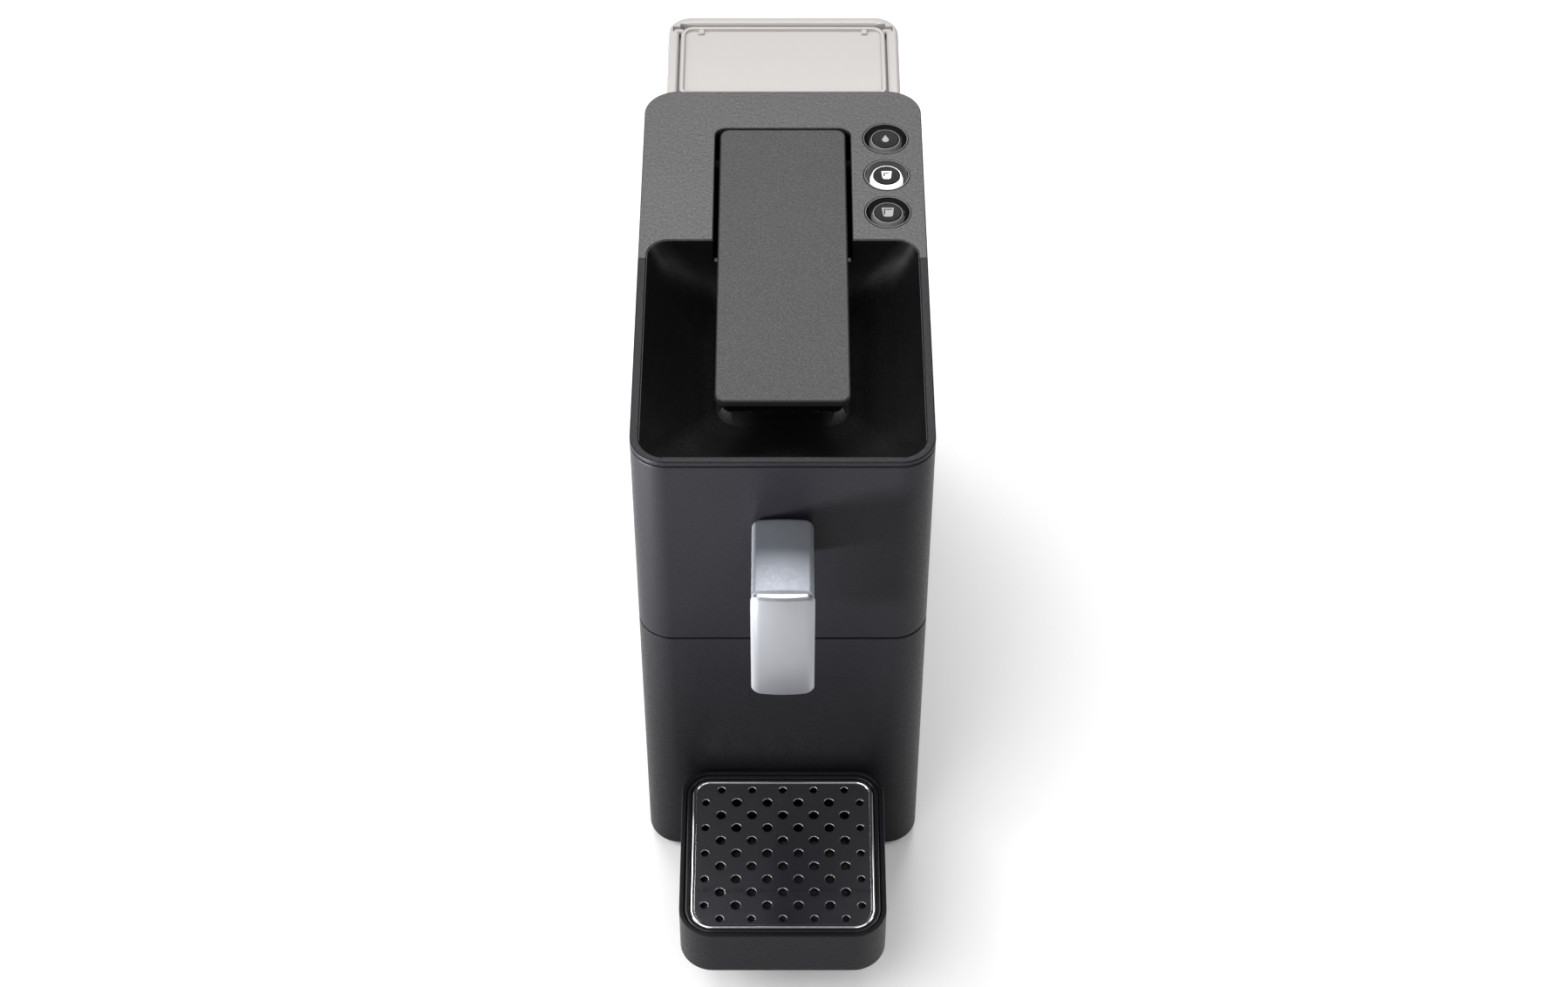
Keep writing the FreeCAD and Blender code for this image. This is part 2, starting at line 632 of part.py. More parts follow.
def hook_slots(z0, z1):
    slots = [box(x - 2.6, x + 2.6, front_y - 1, front_y + wall + 1, z0, z1) for x in (-26, 26)]
    return Part.makeCompound(slots)


def drawer_front():
    """Lower front of the body. It wraps round both corners and slides out with the capsule bin."""
    bottom, top = 4.2, seam_z - seam_gap / 2
    shell = prism(-half_width, half_width, front_y, drawer_split - 0.5, bottom, top, [body_corner, body_corner, 0, 0])
    shell = soften(shell, 0.5, lambda b: level(top)(b) and b.YMin < drawer_split - 1)
    shell = soften(shell, 0.8, lambda b: level(bottom)(b) and b.YMin < drawer_split - 1)
    inside = prism(-inner_half, inner_half, front_y + wall, drawer_split + 1, bottom - 1, top + 1,
                   [inner_corner, inner_corner, 0, 0])
    shell = shell.cut(inside)
    return shell.cut(hook_slots(7, 54)).removeSplitter()


def capsule_bin():
    """Container for spent capsules behind the drawer's front."""
    front = front_y + wall + 4.0
    outer = prism(-bin_half, bin_half, front, bin_rear, 8, bin_top, 6)
    inner = prism(-bin_half + 1.8, bin_half - 1.8, front + 1.8, bin_rear - 1.8, 9.8, bin_top + 1, 4.2)
    body = outer.cut(inner)
    for x in (-36, 36):
        body = body.fuse(box(x - 5, x + 5, front_y + wall, front + 0.5, 90, 130))
    return body.removeSplitter()


def tray_shell():
    """Outer shell of the cup rest, with two hooks that hang in the drawer's slots."""
    half, front = tray_width / 2, front_y - tray_reach
    rear, top = front_y - 0.4, tray_bottom + tray_height
    shell = prism(-half, half, front, rear, tray_bottom, top, [14, 14, 12, 12])
    shell = soften(shell, 0.9, level(tray_bottom))
    shell = soften(shell, 0.6, level(top))
    hollow = prism(-half + 2, half - 2, front + 2, rear - 2, tray_bottom + 2, top + 1, [12, 12, 10, 10])
    shell = shell.cut(hollow)
    for x in (-26, 26):
        neck = box(x - 2.2, x + 2.2, rear - 1.5, front_y + wall + 0.5, tray_bottom + 6, tray_bottom + 20)
        head = box(x - 4.5, x + 4.5, front_y + wall + 0.4, front_y + wall + 2.4, tray_bottom + 6, tray_bottom + 20)
        shell = shell.fuse(neck).fuse(head)
    return shell.removeSplitter()


def drip_bowl():
    """Black liner that catches the drips and lifts out of the cup rest."""
    half, front = tray_width / 2, front_y - tray_reach
    rear, top = front_y - 0.4, tray_bottom + tray_height
    outer = prism(-half + 2.3, half - 2.3, front + 2.3, rear - 2.3, tray_bottom + 2.3, top - 0.3, [11.7, 11.7, 9.7, 9.7])
    seat = prism(-half + 4.0, half - 4.0, front + 4.0, rear - 4.0, top - 3.4, top + 1, [10, 10, 8, 8])
    hollow = prism(-half + 6.2, half - 6.2, front + 6.2, rear - 6.2, tray_bottom + 4.2, top, [7.8, 7.8, 5.8, 5.8])
    return outer.cut(seat).cut(hollow)


def drip_grille():
    """Polished steel plate with staggered holes."""
    half, front = tray_width / 2, front_y - tray_reach
    rear, top = front_y - 0.4, tray_bottom + tray_height
    plate = prism(-half + 4.2, half - 4.2, front + 4.2, rear - 4.2, top - 3.3, top - 0.5, [9.8, 9.8, 7.8, 7.8])
    plate = soften(plate, 0.8, level(top - 0.5))
    plate = plate.cut(prism(-half + 5.4, half - 5.4, front + 5.4, rear - 5.4, top - 4, top - 1.7, [8.6, 8.6, 6.6, 6.6]))
    holes = []
    for x, y, radius in grille_holes():
        holes.append(rod((x, y, top - 4), (x, y, top + 1), radius))
    return plate.cut(Part.makeCompound(holes))


def grille_holes():
    """Places and radii of the holes: rows of five and six in turn, smaller round the edge."""
    pitch, rows = 13.1, 11
    centre = front_y - tray_reach / 2 - 0.4
    places = []
    for row in range(rows):
        count = 6 if row % 2 else 5
        y = centre + (row - (rows - 1) / 2) * pitch / 2
        for column in range(count):
            x = (column - (count - 1) / 2) * pitch
            at_edge = row in (0, rows - 1) or abs(x) > 2.4 * pitch
            places.append((x, y, 1.65 if at_edge else 2.1))
    return places


# Water tank

def tank_body():
    """Clear tank with a rolled rim, a ledge for the lid and a valve cup in its floor."""
    half = tank_width / 2
    radii = [6, 6, 11, 11]
    shell = prism(-half, half, tank_front, tank_rear, tank_bottom, tank_top, radii)
    shell = soften(shell, 1.8, level(tank_top))
    shell = soften(shell, 1.5, level(tank_bottom))
    shell = shell.cut(prism(-half + 2.2, half - 2.2, tank_front + 2.2, tank_rear - 2.2, tank_bottom + 2.5, 239,
                            [4, 4, 8.8, 8.8]))
    shell = shell.cut(prism(-half + 8.6, half - 8.6, tank_front + 8.2, tank_rear - 8.2, 238, 250, [3, 3, 4, 4]))
    shell = shell.cut(prism(-half + 5.6, half - 5.6, tank_front + 5.2, tank_rear - 5.2, 243.2, 250, [4, 4, 6, 6]))
    cup = rod((0, spigot_y, tank_bottom + 1), (0, spigot_y, 33), 9.6)
    shell = shell.fuse(cup).cut(rod((0, spigot_y, tank_bottom - 1), (0, spigot_y, 30), 7.6))
    shell = shell.cut(rod((0, spigot_y, 29), (0, spigot_y, 34), 3.4))
    for side in (-1, 1):
        notch = rod((side * 43, lid_hinge_y(), 244.9), (side * 48.6, lid_hinge_y(), 244.9), 1.6)
        shell = shell.cut(notch)
        shell = shell.cut(box(min(side * 43, side * 48.6), max(side * 43, side * 48.6),
                              lid_hinge_y() - 1.6, lid_hinge_y() + 1.6, 244.9, 250))
    shell = shell.cut(box(-45.4, 45.4, tank_rear - 11.0, tank_rear - 5.2, 240.5, 250))
    return shell.removeSplitter()


def lid_hinge_y():
    return tank_rear - 8.6


def tank_lid():
    """Hinged lid that lies inside the rim, with a low ridge round it."""
    half = tank_width / 2 - 5.9
    front, rear = tank_front + 5.5, tank_rear - 5.9
    lid = prism(-half, half, front, rear, 243.4, 245.0, [3.7, 3.7, 5.7, 5.7])
    ridge = prism(-half, half, front, rear, 245.0, 246.2, [3.7, 3.7, 5.7, 5.7]).cut(
        prism(-half + 1.6, half - 1.6, front + 1.6, rear - 1.6, 244, 247, [2.4, 2.4, 4.2, 4.2]))
    lid = lid.fuse(ridge)
    for side in (-1, 1):
        lid = lid.fuse(rod((side * (half - 1), lid_hinge_y(), 244.9), (side * 48.2, lid_hinge_y(), 244.9), 1.4))
    return lid.removeSplitter()


def valve_plunger():
    """Poppet that shuts the tank's outlet when the tank is lifted off."""
    profile = [(0, 23.6), (5.2, 23.6), (5.2, 24.4), (1.6, 24.4), (1.6, 34.0), (6.0, 34.0), (6.0, 35.4), (0, 35.4)]
    return turned(profile, 0, spigot_y)


def valve_seal():
    return turned([(1.7, 33.05), (5.6, 33.05), (5.6, 34.0), (1.7, 34.0)], 0, spigot_y)


def valve_spring():
    """Small coil spring of square wire round the poppet's stem, at its fitted length."""
    radius, half_wire, turns = 4.3, 0.32, 3.5
    low, high = 24.4, 30.0
    height = high - low - 2 * half_wire - 0.1
    helix = Part.Wire(Part.makeHelix(height / turns, height, radius))
    inner, outer = radius - half_wire, radius + half_wire
    section = Part.makePolygon([Vector(inner, 0, -half_wire), Vector(outer, 0, -half_wire),
                                Vector(outer, 0, half_wire), Vector(inner, 0, half_wire),
                                Vector(inner, 0, -half_wire)])
    spring = helix.makePipeShell([section], True, True)
    spring.translate(Vector(0, spigot_y, low + half_wire + 0.05))
    return spring


# Water works

def pump_body():
    """Vibratory pump: a square coil case with a round pressure end."""
    coil = prism(pump_x - 18, pump_x + 18, pump_y - 20, pump_y + 20, 48, 92, 4)
    nose = rod((pump_x, pump_y, 92), (pump_x, pump_y, 116), 12)
    tail = rod((pump_x, pump_y, 30), (pump_x, pump_y, 48), 10)
    barbs = rod((pump_x, pump_y, 116), (pump_x, pump_y, 126), 3.4).fuse(
        rod((pump_x, pump_y, 20), (pump_x, pump_y, 30), 3.4))
    return coil.fuse(nose).fuse(tail).fuse(barbs).removeSplitter()


def pump_mounts():
    """Two rubber cushions that hold the pump off the frame."""
    mounts = []
    for z0, z1, radius in ((34, 42, 10.05), (100, 108, 12.05)):
        ring = prism(pump_x - 21, pump_x + 21, pump_y - 17, pump_y + 17, z0, z1, 5)
        mounts.append(ring.cut(rod((pump_x, pump_y, z0 - 1), (pump_x, pump_y, z1 + 1), radius)))
    return Part.makeCompound(mounts)


def pump_bracket():
    """Sheet bracket from the bulkhead round the pump's cushions."""
    bracket = box(pump_x - 23, pump_x + 23, 33, 34.4, 30, 112)
    for z in (32.4, 42.2, 98.4, 108.2):
        bracket = bracket.fuse(box(pump_x - 23, pump_x + 23, 34.4, pump_y - 14, z, z + 1.4))
        bracket = bracket.cut(rod((pump_x, pump_y, z - 1), (pump_x, pump_y, z + 3), 26))
        bracket = bracket.fuse(prism(pump_x - 23, pump_x + 23, 34, pump_y + 17, z, z + 1.4, [0, 0, 5, 5]).cut(
            rod((pump_x, pump_y, z - 1), (pump_x, pump_y, z + 3), 14)))
    return bracket.removeSplitter()


def thermoblock():
    """Cast heater block with its two water ports on top."""
    block = prism(block_x - 20, block_x + 20, block_y - 28, block_y + 28, 60, 128, 6)
    for i in range(5):
        y = block_y - 22 + 11 * i
        block = block.cut(box(block_x - 21, block_x - 17, y - 1.6, y + 1.6, 59, 129))
        block = block.cut(box(block_x + 17, block_x + 21, y - 1.6, y + 1.6, 59, 129))
    for y in (block_y - 16, block_y):
        block = block.fuse(rod((block_x, y, 128), (block_x, y, 136), 3.2))
    return block.removeSplitter()


def block_feet():
    """Ceramic-filled posts that stand the hot block on the pan."""
    places = [(block_x + dx, block_y + dy) for dx in (-13, 13) for dy in (-21, 7)]
    return Part.makeCompound([rod((x, y, 6), (x, y, 60), 4) for x, y in places])


def thermal_cutouts():
    """Thermostat and thermal fuse clipped to the block."""
    parts = []
    for z in (80, 104):
        disc = rod((block_x, block_y + 28, z), (block_x, block_y + 33, z), 8)
        tabs = box(block_x - 5, block_x - 3, block_y + 33, block_y + 39, z - 2, z + 2).fuse(
            box(block_x + 3, block_x + 5, block_y + 33, block_y + 39, z - 2, z + 2))
        parts.append(disc.fuse(tabs))
    return Part.makeCompound(parts)


def meter_housing():
    """Flow meter cup with an inlet and an outlet barb."""
    z0, z1 = meter_z - 6, meter_z + 10
    cup = rod((meter_x, meter_y, z0), (meter_x, meter_y, z1), 13)
    inlet = rod((meter_x - 8, meter_y + 3, hose_z), (meter_x - 17, meter_y + 3, hose_z), 3.2)
    outlet = rod((meter_x - 8, meter_y - 7, hose_z), (meter_x - 17, meter_y - 7, hose_z), 3.2)
    cup = cup.fuse(inlet).fuse(outlet)
    cup = cup.cut(rod((meter_x, meter_y, z0 + 1.6), (meter_x, meter_y, z1 + 1), 11))
    return cup.fuse(rod((meter_x, meter_y, z0 + 1), (meter_x, meter_y, z0 + 5), 1.0)).removeSplitter()


def meter_rotor():
    """Paddle wheel of the flow meter, which spins as water passes."""
    z0, z1 = meter_z - 2.8, meter_z + 6
    hub = rod((meter_x, meter_y, z0), (meter_x, meter_y, z1), 3.2)
    for i in range(6):
        blade = box(meter_x + 2.5, meter_x + 10, meter_y - 0.5, meter_y + 0.5, z0, z1)
        blade.rotate(Vector(meter_x, meter_y, 0), Z, 60 * i)
        hub = hub.fuse(blade)
    return hub.cut(rod((meter_x, meter_y, z0 - 1), (meter_x, meter_y, z0 + 5), 1.0 + running_gap)).removeSplitter()


def meter_lid():
    z1 = meter_z + 10
    return rod((meter_x, meter_y, z1), (meter_x, meter_y, z1 + 2.4), 13)


def supply_hose():
    """Silicone hose from under the tank to the flow meter."""
    return pipe([(0, spigot_y - 7, hose_z), (0, meter_y + 3, hose_z), (meter_x - 13.2, meter_y + 3, hose_z)],
                [8], 4.2, 3.25)


def suction_hose():
    """Hose from the flow meter to the pump's inlet."""
    return pipe([(meter_x - 13.2, meter_y - 7, hose_z), (pump_x, meter_y - 7, hose_z), (pump_x, pump_y, 29.8)],
                [7], 4.3, 3.45)


def pressure_tube():
    """Stiff tube from the pump to the heater block."""
    high = 142.0
    return pipe([(pump_x, pump_y, 126), (pump_x, pump_y, high), (block_x, block_y - 16, high),
                 (block_x, block_y - 16, 136)], [5, 4], 2.0, 1.0)


def hot_tube():
    """Stiff tube from the heater block up to the sliding pipe's gland."""
    return pipe([(block_x, block_y, 136), (block_x, block_y, pipe_z), (14, block_y, pipe_z)], [6], 2.0, 1.0)


def power_board():
    """Mains and control board on the left wall of the upper casing."""
    board = box(-50, -48.4, 47, 103, 156, 218)
    fitted = [box(-48.4, -34, 50, 68, 160, 180), box(-48.4, -38, 72, 84, 164, 176),
              rod((-48.4, 94, 172), (-34, 94, 172), 6), box(-48.4, -42, 52, 98, 194, 200)]
    for item in fitted:
        board = board.fuse(item)
    return board.removeSplitter()


parts = {
    "base_pan": base_pan,
    "rubber_feet": rubber_feet,
    "lower_casing": lower_casing,
    "screws": screws,
    "upper_casing": upper_casing,
    "chassis_frame": chassis_frame,
    "cord_inlet_bushing": cord_inlet,
    "top_cover": top_cover,
    "top_bowl": top_bowl,
    "lever_cover": lever_cover,
    "lever_frame": lever_frame,
    "lever_hinge_pin": lever_hinge_pin,
    "crank_pin": crank_pin,
    "link_bars": link_bars,
    "yoke_pin": yoke_pin,
    "brew_housing": brew_housing,
    "pipe_seal_block": pipe_seal_block,
    "outlet_plate": outlet_plate,
    "outlet_gasket": outlet_gasket,
    "coffee_duct": coffee_duct,
    "brew_carriage": carriage,
    "injector_plate": injector_plate,
    "injector_seal": injector_seal,
    "injector_pipe": injector_pipe,
    "spout_arm": spout_arm,
    "spout_cover": spout_cover,
    "spout_nozzle": spout_nozzle,
    "button_bezels": button_bezels,
    "button_board": button_board,
    "tact_switches": tact_switches,
    "drawer_front": drawer_front,
    "capsule_bin": capsule_bin,
    "tray_shell": tray_shell,
    "drip_bowl": drip_bowl,
    "drip_grille": drip_grille,
    "tank_body": tank_body,
    "tank_lid": tank_lid,
    "valve_plunger": valve_plunger,
    "valve_seal": valve_seal,
    "valve_spring": valve_spring,
    "pump_body": pump_body,
    "pump_mounts": pump_mounts,
    "pump_bracket": pump_bracket,
    "thermoblock": thermoblock,
    "block_feet": block_feet,
    "thermal_cutouts": thermal_cutouts,
    "meter_housing": meter_housing,
    "meter_rotor": meter_rotor,
    "meter_lid": meter_lid,
    "supply_hose": supply_hose,
    "suction_hose": suction_hose,
    "pressure_tube": pressure_tube,
    "hot_tube": hot_tube,
    "power_board": power_board,
}


def check(name, shape):
    """Prints what each shape is, so that an open or broken one shows at once."""
    solids = shape.Solids
    good = shape.isValid() and solids and all(s.Volume > 0 for s in solids)
    state = "ok" if good else "BROKEN"
    print(f"{state:7}{name:22} solids {len(solids)} volume {shape.Volume / 1000:9.2f} cm3")


def main():
    os.makedirs("parts", exist_ok=True)
    shapes = {name: make() for name, make in parts.items()}
    for label, y in button_ys.items():
        shapes[f"{label}_button_ring"] = light_ring(y)
        shapes[f"{label}_button_cap"] = button_cap(y)
    for name, shape in shapes.items():
        check(name, shape)
        shape.exportStep(f"parts/{name}.step")


main()
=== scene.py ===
"""Looks for the slim pod coffee machine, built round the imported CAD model.

Sizes in the modelling helpers are in millimetres and become metres in each mesh. The machine's
front faces -Y, and the origin is on the table under its middle.
"""

import json
import math

import bmesh
import bpy
from mathutils import Matrix, Vector


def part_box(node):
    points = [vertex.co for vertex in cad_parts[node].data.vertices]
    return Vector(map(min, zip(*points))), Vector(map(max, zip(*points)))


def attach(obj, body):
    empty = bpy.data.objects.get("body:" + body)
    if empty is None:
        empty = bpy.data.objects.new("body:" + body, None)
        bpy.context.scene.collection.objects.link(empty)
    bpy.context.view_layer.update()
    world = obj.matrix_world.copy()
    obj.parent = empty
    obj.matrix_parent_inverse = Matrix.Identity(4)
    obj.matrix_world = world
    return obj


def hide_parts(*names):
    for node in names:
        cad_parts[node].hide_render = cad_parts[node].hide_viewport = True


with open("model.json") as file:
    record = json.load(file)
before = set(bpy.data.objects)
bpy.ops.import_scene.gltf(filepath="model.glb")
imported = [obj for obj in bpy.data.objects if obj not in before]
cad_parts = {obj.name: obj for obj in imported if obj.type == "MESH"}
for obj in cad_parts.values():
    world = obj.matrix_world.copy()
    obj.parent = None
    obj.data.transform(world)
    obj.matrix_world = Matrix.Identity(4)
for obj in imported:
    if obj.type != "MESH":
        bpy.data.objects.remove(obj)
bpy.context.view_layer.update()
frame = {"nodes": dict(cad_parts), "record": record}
MM = 0.001
SHARP = math.radians(38)


# Camera, light and floor

def make_camera():
    data = bpy.data.cameras.new("camera")
    data.sensor_width = 36.0
    data.lens = 68.5
    data.clip_end = 50
    camera = bpy.data.objects.new("camera", data)
    bpy.context.scene.collection.objects.link(camera)
    camera.location = (0.0005, -0.8648, 1.0904)
    camera.rotation_euler = (math.radians(42.0), 0, 0)
    bpy.context.scene.camera = camera


# Name, place, target, size, watts, spread in degrees. The strip low on the left gives the casing's front its
# sheen, and its narrow spread keeps it off the floor.
LIGHTS = [
    ("key_left", (-1.2, -0.2, 0.9), (0, 0, 0.15), (0.5, 1.0), 12, 180),
    ("key_right", (1.3, -0.15, 0.85), (0, 0, 0.15), (0.4, 1.0), 4, 180),
    ("rear_top", (-0.15, 1.15, 1.75), (0, 0, 0.2), (1.5, 0.9), 33, 180),
    ("front_left", (-0.65, -0.8, 1.35), (0, 0, 0.24), (1.0, 1.0), 12, 180),
    ("front_right", (0.65, -0.8, 1.35), (0, 0, 0.24), (1.0, 1.0), 5, 180),
    ("strip_left", (-0.56, -0.44, 0.08), (-0.05, -0.095, 0.27), (0.6, 0.12), 2.8, 38),
]


def area_light(name, place, target, size, power, spread):
    data = bpy.data.lights.new(name, "AREA")
    data.shape = "RECTANGLE"
    data.size, data.size_y = size
    data.energy = power
    data.spread = math.radians(spread)
    light = bpy.data.objects.new(name, data)
    bpy.context.scene.collection.objects.link(light)
    light.location = place
    light.rotation_euler = (Vector(target) - Vector(place)).to_track_quat("-Z", "Y").to_euler()


def make_stage():
    mesh = bpy.data.meshes.new("floor")
    mesh.from_pydata([(-6, -6, 0), (6, -6, 0), (6, 6, 0), (-6, 6, 0)], [], [(0, 1, 2, 3)])
    floor = bpy.data.objects.new("floor", mesh)
    bpy.context.scene.collection.objects.link(floor)
    mesh.materials.append(floor_material())
    world = bpy.data.worlds.new("world")
    bpy.context.scene.world = world
    world.use_nodes = True
    world.node_tree.nodes["Background"].inputs["Color"].default_value = (1, 1, 1, 1)
    world.node_tree.nodes["Background"].inputs["Strength"].default_value = 0.32
    for light in LIGHTS:
        area_light(*light)
    bpy.context.scene.view_settings.view_transform = "Standard"


# Materials

class Surface:
    """A Principled material with short calls for the node patterns used here."""

    def __init__(self, name, colour, roughness, **inputs):
        self.material = bpy.data.materials.new(name)
        self.material.use_nodes = True
        self.tree = self.material.node_tree
        self.shader = self.tree.nodes["Principled BSDF"]
        self.shader.inputs["Base Color"].default_value = (*colour, 1)
        self.shader.inputs["Roughness"].default_value = roughness
        for key, value in inputs.items():
            self.shader.inputs[key.replace("_", " ")].default_value = value
        self.point = self.tree.nodes.new("ShaderNodeTexCoord").outputs["Object"]

    def add(self, kind, **settings):
        made = self.tree.nodes.new(kind)
        for key, value in settings.items():
            setattr(made, key, value)
        return made

    def link(self, source, target):
        self.tree.links.new(source, target)

    def noise(self, scale, detail=3.0, roughness=0.5, stretch=(1, 1, 1)):
        """Noise over the object's own coordinates. scale is in features per metre."""
        mapping = self.add("ShaderNodeMapping")
        mapping.inputs["Scale"].default_value = stretch
        self.link(self.point, mapping.inputs["Vector"])
        made = self.add("ShaderNodeTexNoise")
        made.inputs["Scale"].default_value = scale
        made.inputs["Detail"].default_value = detail
        made.inputs["Roughness"].default_value = roughness
        self.link(mapping.outputs["Vector"], made.inputs["Vector"])
        return made.outputs["Fac"]

    def cells(self, scale):
        made = self.add("ShaderNodeTexVoronoi", feature="F1")
        made.inputs["Scale"].default_value = scale
        self.link(self.point, made.inputs["Vector"])
        return made.outputs["Distance"]

    def spread(self, source, low, high, from_low=0.0, from_high=1.0):
        """Maps a value's range onto low..high."""
        made = self.add("ShaderNodeMapRange")
        for key, value in (("From Min", from_low), ("From Max", from_high),
                           ("To Min", low), ("To Max", high)):
            made.inputs[key].default_value = value
        self.link(source, made.inputs["Value"])
        return made.outputs["Result"]

    def tint(self, source, low, high):
        """Base colour that varies between two colours."""
        made = self.add("ShaderNodeMix", data_type="RGBA")
        colours = [i for i in made.inputs if i.type == "RGBA"]
        colours[0].default_value = (*low, 1)
        colours[1].default_value = (*high, 1)
        self.link(source, made.inputs["Factor"])
        self.link([o for o in made.outputs if o.type == "RGBA"][0], self.shader.inputs["Base Color"])

    def rough(self, source, low, high, from_low=0.3, from_high=0.7):
        self.link(self.spread(source, low, high, from_low, from_high), self.shader.inputs["Roughness"])

    def bumps(self, *layers):
        """Height layers of (source, height in metres), laid over one another."""
        normal = None
        for source, height in layers:
            made = self.add("ShaderNodeBump")
            made.inputs["Strength"].default_value = 1.0
            made.inputs["Distance"].default_value = height
            self.link(source, made.inputs["Height"])
            if normal is not None:
                self.link(normal, made.inputs["Normal"])
            normal = made.outputs["Normal"]
        self.link(normal, self.shader.inputs["Normal"])


def scaled(colour, factor):
    return tuple(min(1.0, c * factor) for c in colour)


def floor_material():
    surface = Surface("floor", (0.92, 0.92, 0.92), 0.9)
    surface.tint(surface.noise(2.0), (0.91, 0.91, 0.91), (0.93, 0.93, 0.93))
    return surface.material


def moulded(name, colour, roughness, grain=1400.0, depth=0.00003, contrast=0.14, **inputs):
    """Moulded plastic with a fine eroded grain, slightly brighter and smoother on its peaks."""
    surface = Surface(name, colour, roughness, **inputs)
    grain_map = surface.noise(grain, 2.0, 0.55)
    patch = surface.noise(22.0, 3.0)
    mixed = surface.add("ShaderNodeMath", operation="MULTIPLY_ADD")
    surface.link(grain_map, mixed.inputs[0])
    mixed.inputs[1].default_value = 0.85
    surface.link(surface.spread(patch, 0.0, 0.15, 0.3, 0.7), mixed.inputs[2])
    surface.tint(surface.spread(mixed.outputs[0], 0, 1, 0.25, 0.75), scaled(colour, 1 - contrast),
                 scaled(colour, 1 + contrast))
    surface.rough(grain_map, roughness + 0.07, roughness - 0.06)
    surface.bumps((grain_map, depth), (surface.cells(grain * 0.55), depth * 0.5))
    return surface.material


RIPPLE = 0.000006           # height in metres


def gloss(name, colour, roughness):
    """Smooth glossy plastic with a faint ripple and the odd fine scuff."""
    surface = Surface(name, colour, roughness, Specular_IOR_Level=0.5)
    scuff = surface.noise(260.0, 5.0, 0.7, (1, 0.25, 1))
    surface.rough(scuff, roughness * 0.8, roughness * 1.35)
    surface.tint(surface.noise(35.0), scaled(colour, 0.85), scaled(colour, 1.15))
    surface.bumps((surface.noise(60.0, 2.0), RIPPLE), (surface.noise(1500.0, 2.0), RIPPLE * 0.4))
    return surface.material


def metal(name, colour, roughness, stretch=(1, 1, 1), spread=0.05, height=0.000002, metallic=1.0):
    """Metal whose fine lines run along the axis with the smallest stretch."""
    surface = Surface(name, colour, roughness, Metallic=metallic)
    lines = surface.noise(900.0, 3.0, 0.6, stretch)
    surface.rough(lines, max(0.02, roughness - spread), roughness + spread)
    surface.tint(surface.noise(40.0), scaled(colour, 0.95), scaled(colour, 1.03))
    surface.bumps((lines, height))
    return surface.material


def rubber(name, colour):
    """Dull rubber with a fine speck."""
    surface = Surface(name, colour, 0.75)
    speck = surface.noise(900.0, 3.0, 0.6)
    surface.tint(surface.spread(speck, 0, 1, 0.35, 0.65), scaled(colour, 0.7), scaled(colour, 1.4))
    surface.rough(speck, 0.68, 0.85)
    surface.bumps((speck, 0.00006))
    return surface.material


materials = {
    "casing": moulded("casing_grain", (0.0062, 0.0062, 0.0082), 0.40, 1000.0, 0.00007, 0.3,
                      Specular_IOR_Level=0.13),
    "deck": moulded("deck_grain", (0.024, 0.023, 0.0232), 0.45, 1000.0, 0.00013, 0.4,
                    Specular_IOR_Level=0.5),
    "lever_grey": moulded("lever_grain", (0.0135, 0.0135, 0.014), 0.46, 1300.0, 0.00010, 0.35,
                           Specular_IOR_Level=0.36),
    # Near-black with hardly any sheen. On the lever's underframe and cheeks, whose own plastic is the dark
    # grey inner plastic, it is painted shade for the gap under the lever. The well is black in its own right.
    "matte_black": moulded("matte_black", (0.003, 0.003, 0.003), 0.8, Specular_IOR_Level=0.05),
    "bowl_black": moulded("bowl_black", (0.0015, 0.0015, 0.0017), 0.38, 1100.0, 0.00002, 0.2,
                          Specular_IOR_Level=0.42),
    "gloss_black": gloss("gloss_black", (0.010, 0.010, 0.0105), 0.22),
    "inner_plastic": moulded("inner_plastic", (0.022, 0.022, 0.023), 0.5),
    "satin_metal": metal("satin_metal", (0.235, 0.25, 0.28), 0.48, height=0.0000003, metallic=0.75),
    "polished_steel": metal("polished_steel", (0.72, 0.72, 0.74), 0.08),
    "steel": metal("plain_steel", (0.55, 0.55, 0.56), 0.3, (0.05, 1, 1)),
    "clear_tank": moulded("clear_tank", (0.385, 0.365, 0.357), 0.2, 2600.0, 0.0000004, 0.015,
                          Transmission_Weight=0.08, IOR=1.45),
    "button_glow": moulded("button_glow", (0.17, 0.17, 0.178), 0.3),
    "button_lit": moulded("button_lit", (0.8, 0.8, 0.8), 0.35, Emission_Color=(1, 1, 1, 1),
                          Emission_Strength=0.7),
    "button_face": moulded("button_face", (0.004, 0.004, 0.0045), 0.45, 2600.0, 0.00002, 0.3,
                           Specular_IOR_Level=0.12),
    "icon_white": moulded("icon_white", (0.75, 0.75, 0.76), 0.5, Emission_Color=(1, 1, 1, 1),
                          Emission_Strength=0.25),
    "icon_grey": moulded("icon_grey", (0.26, 0.26, 0.27), 0.5),
    "dish_black": gloss("dish_black", (0.006, 0.006, 0.0065), 0.10),
    "liner_black": gloss("liner_black", (0.008, 0.008, 0.009), 0.16),
    # A lighter, more metallic copy of the spout's satin metal for its face: the lighter colour is painted
    # highlight for the light the face catches from the front.
    "bright_metal": metal("bright_metal", (0.26, 0.266, 0.287), 0.36, height=0.0000003, metallic=0.9),
    "rubber": rubber("rubber", (0.03, 0.03, 0.031)),
    "silicone": moulded("silicone", (0.62, 0.60, 0.55), 0.4),
    "board_green": moulded("board_green", (0.02, 0.13, 0.06), 0.35),
    "white_nylon": moulded("white_nylon", (0.66, 0.66, 0.63), 0.45),
    "cast_aluminium": metal("cast_aluminium", (0.52, 0.52, 0.53), 0.5, (1, 1, 1), 0.1, 0.00004),
}


# Modelling helpers

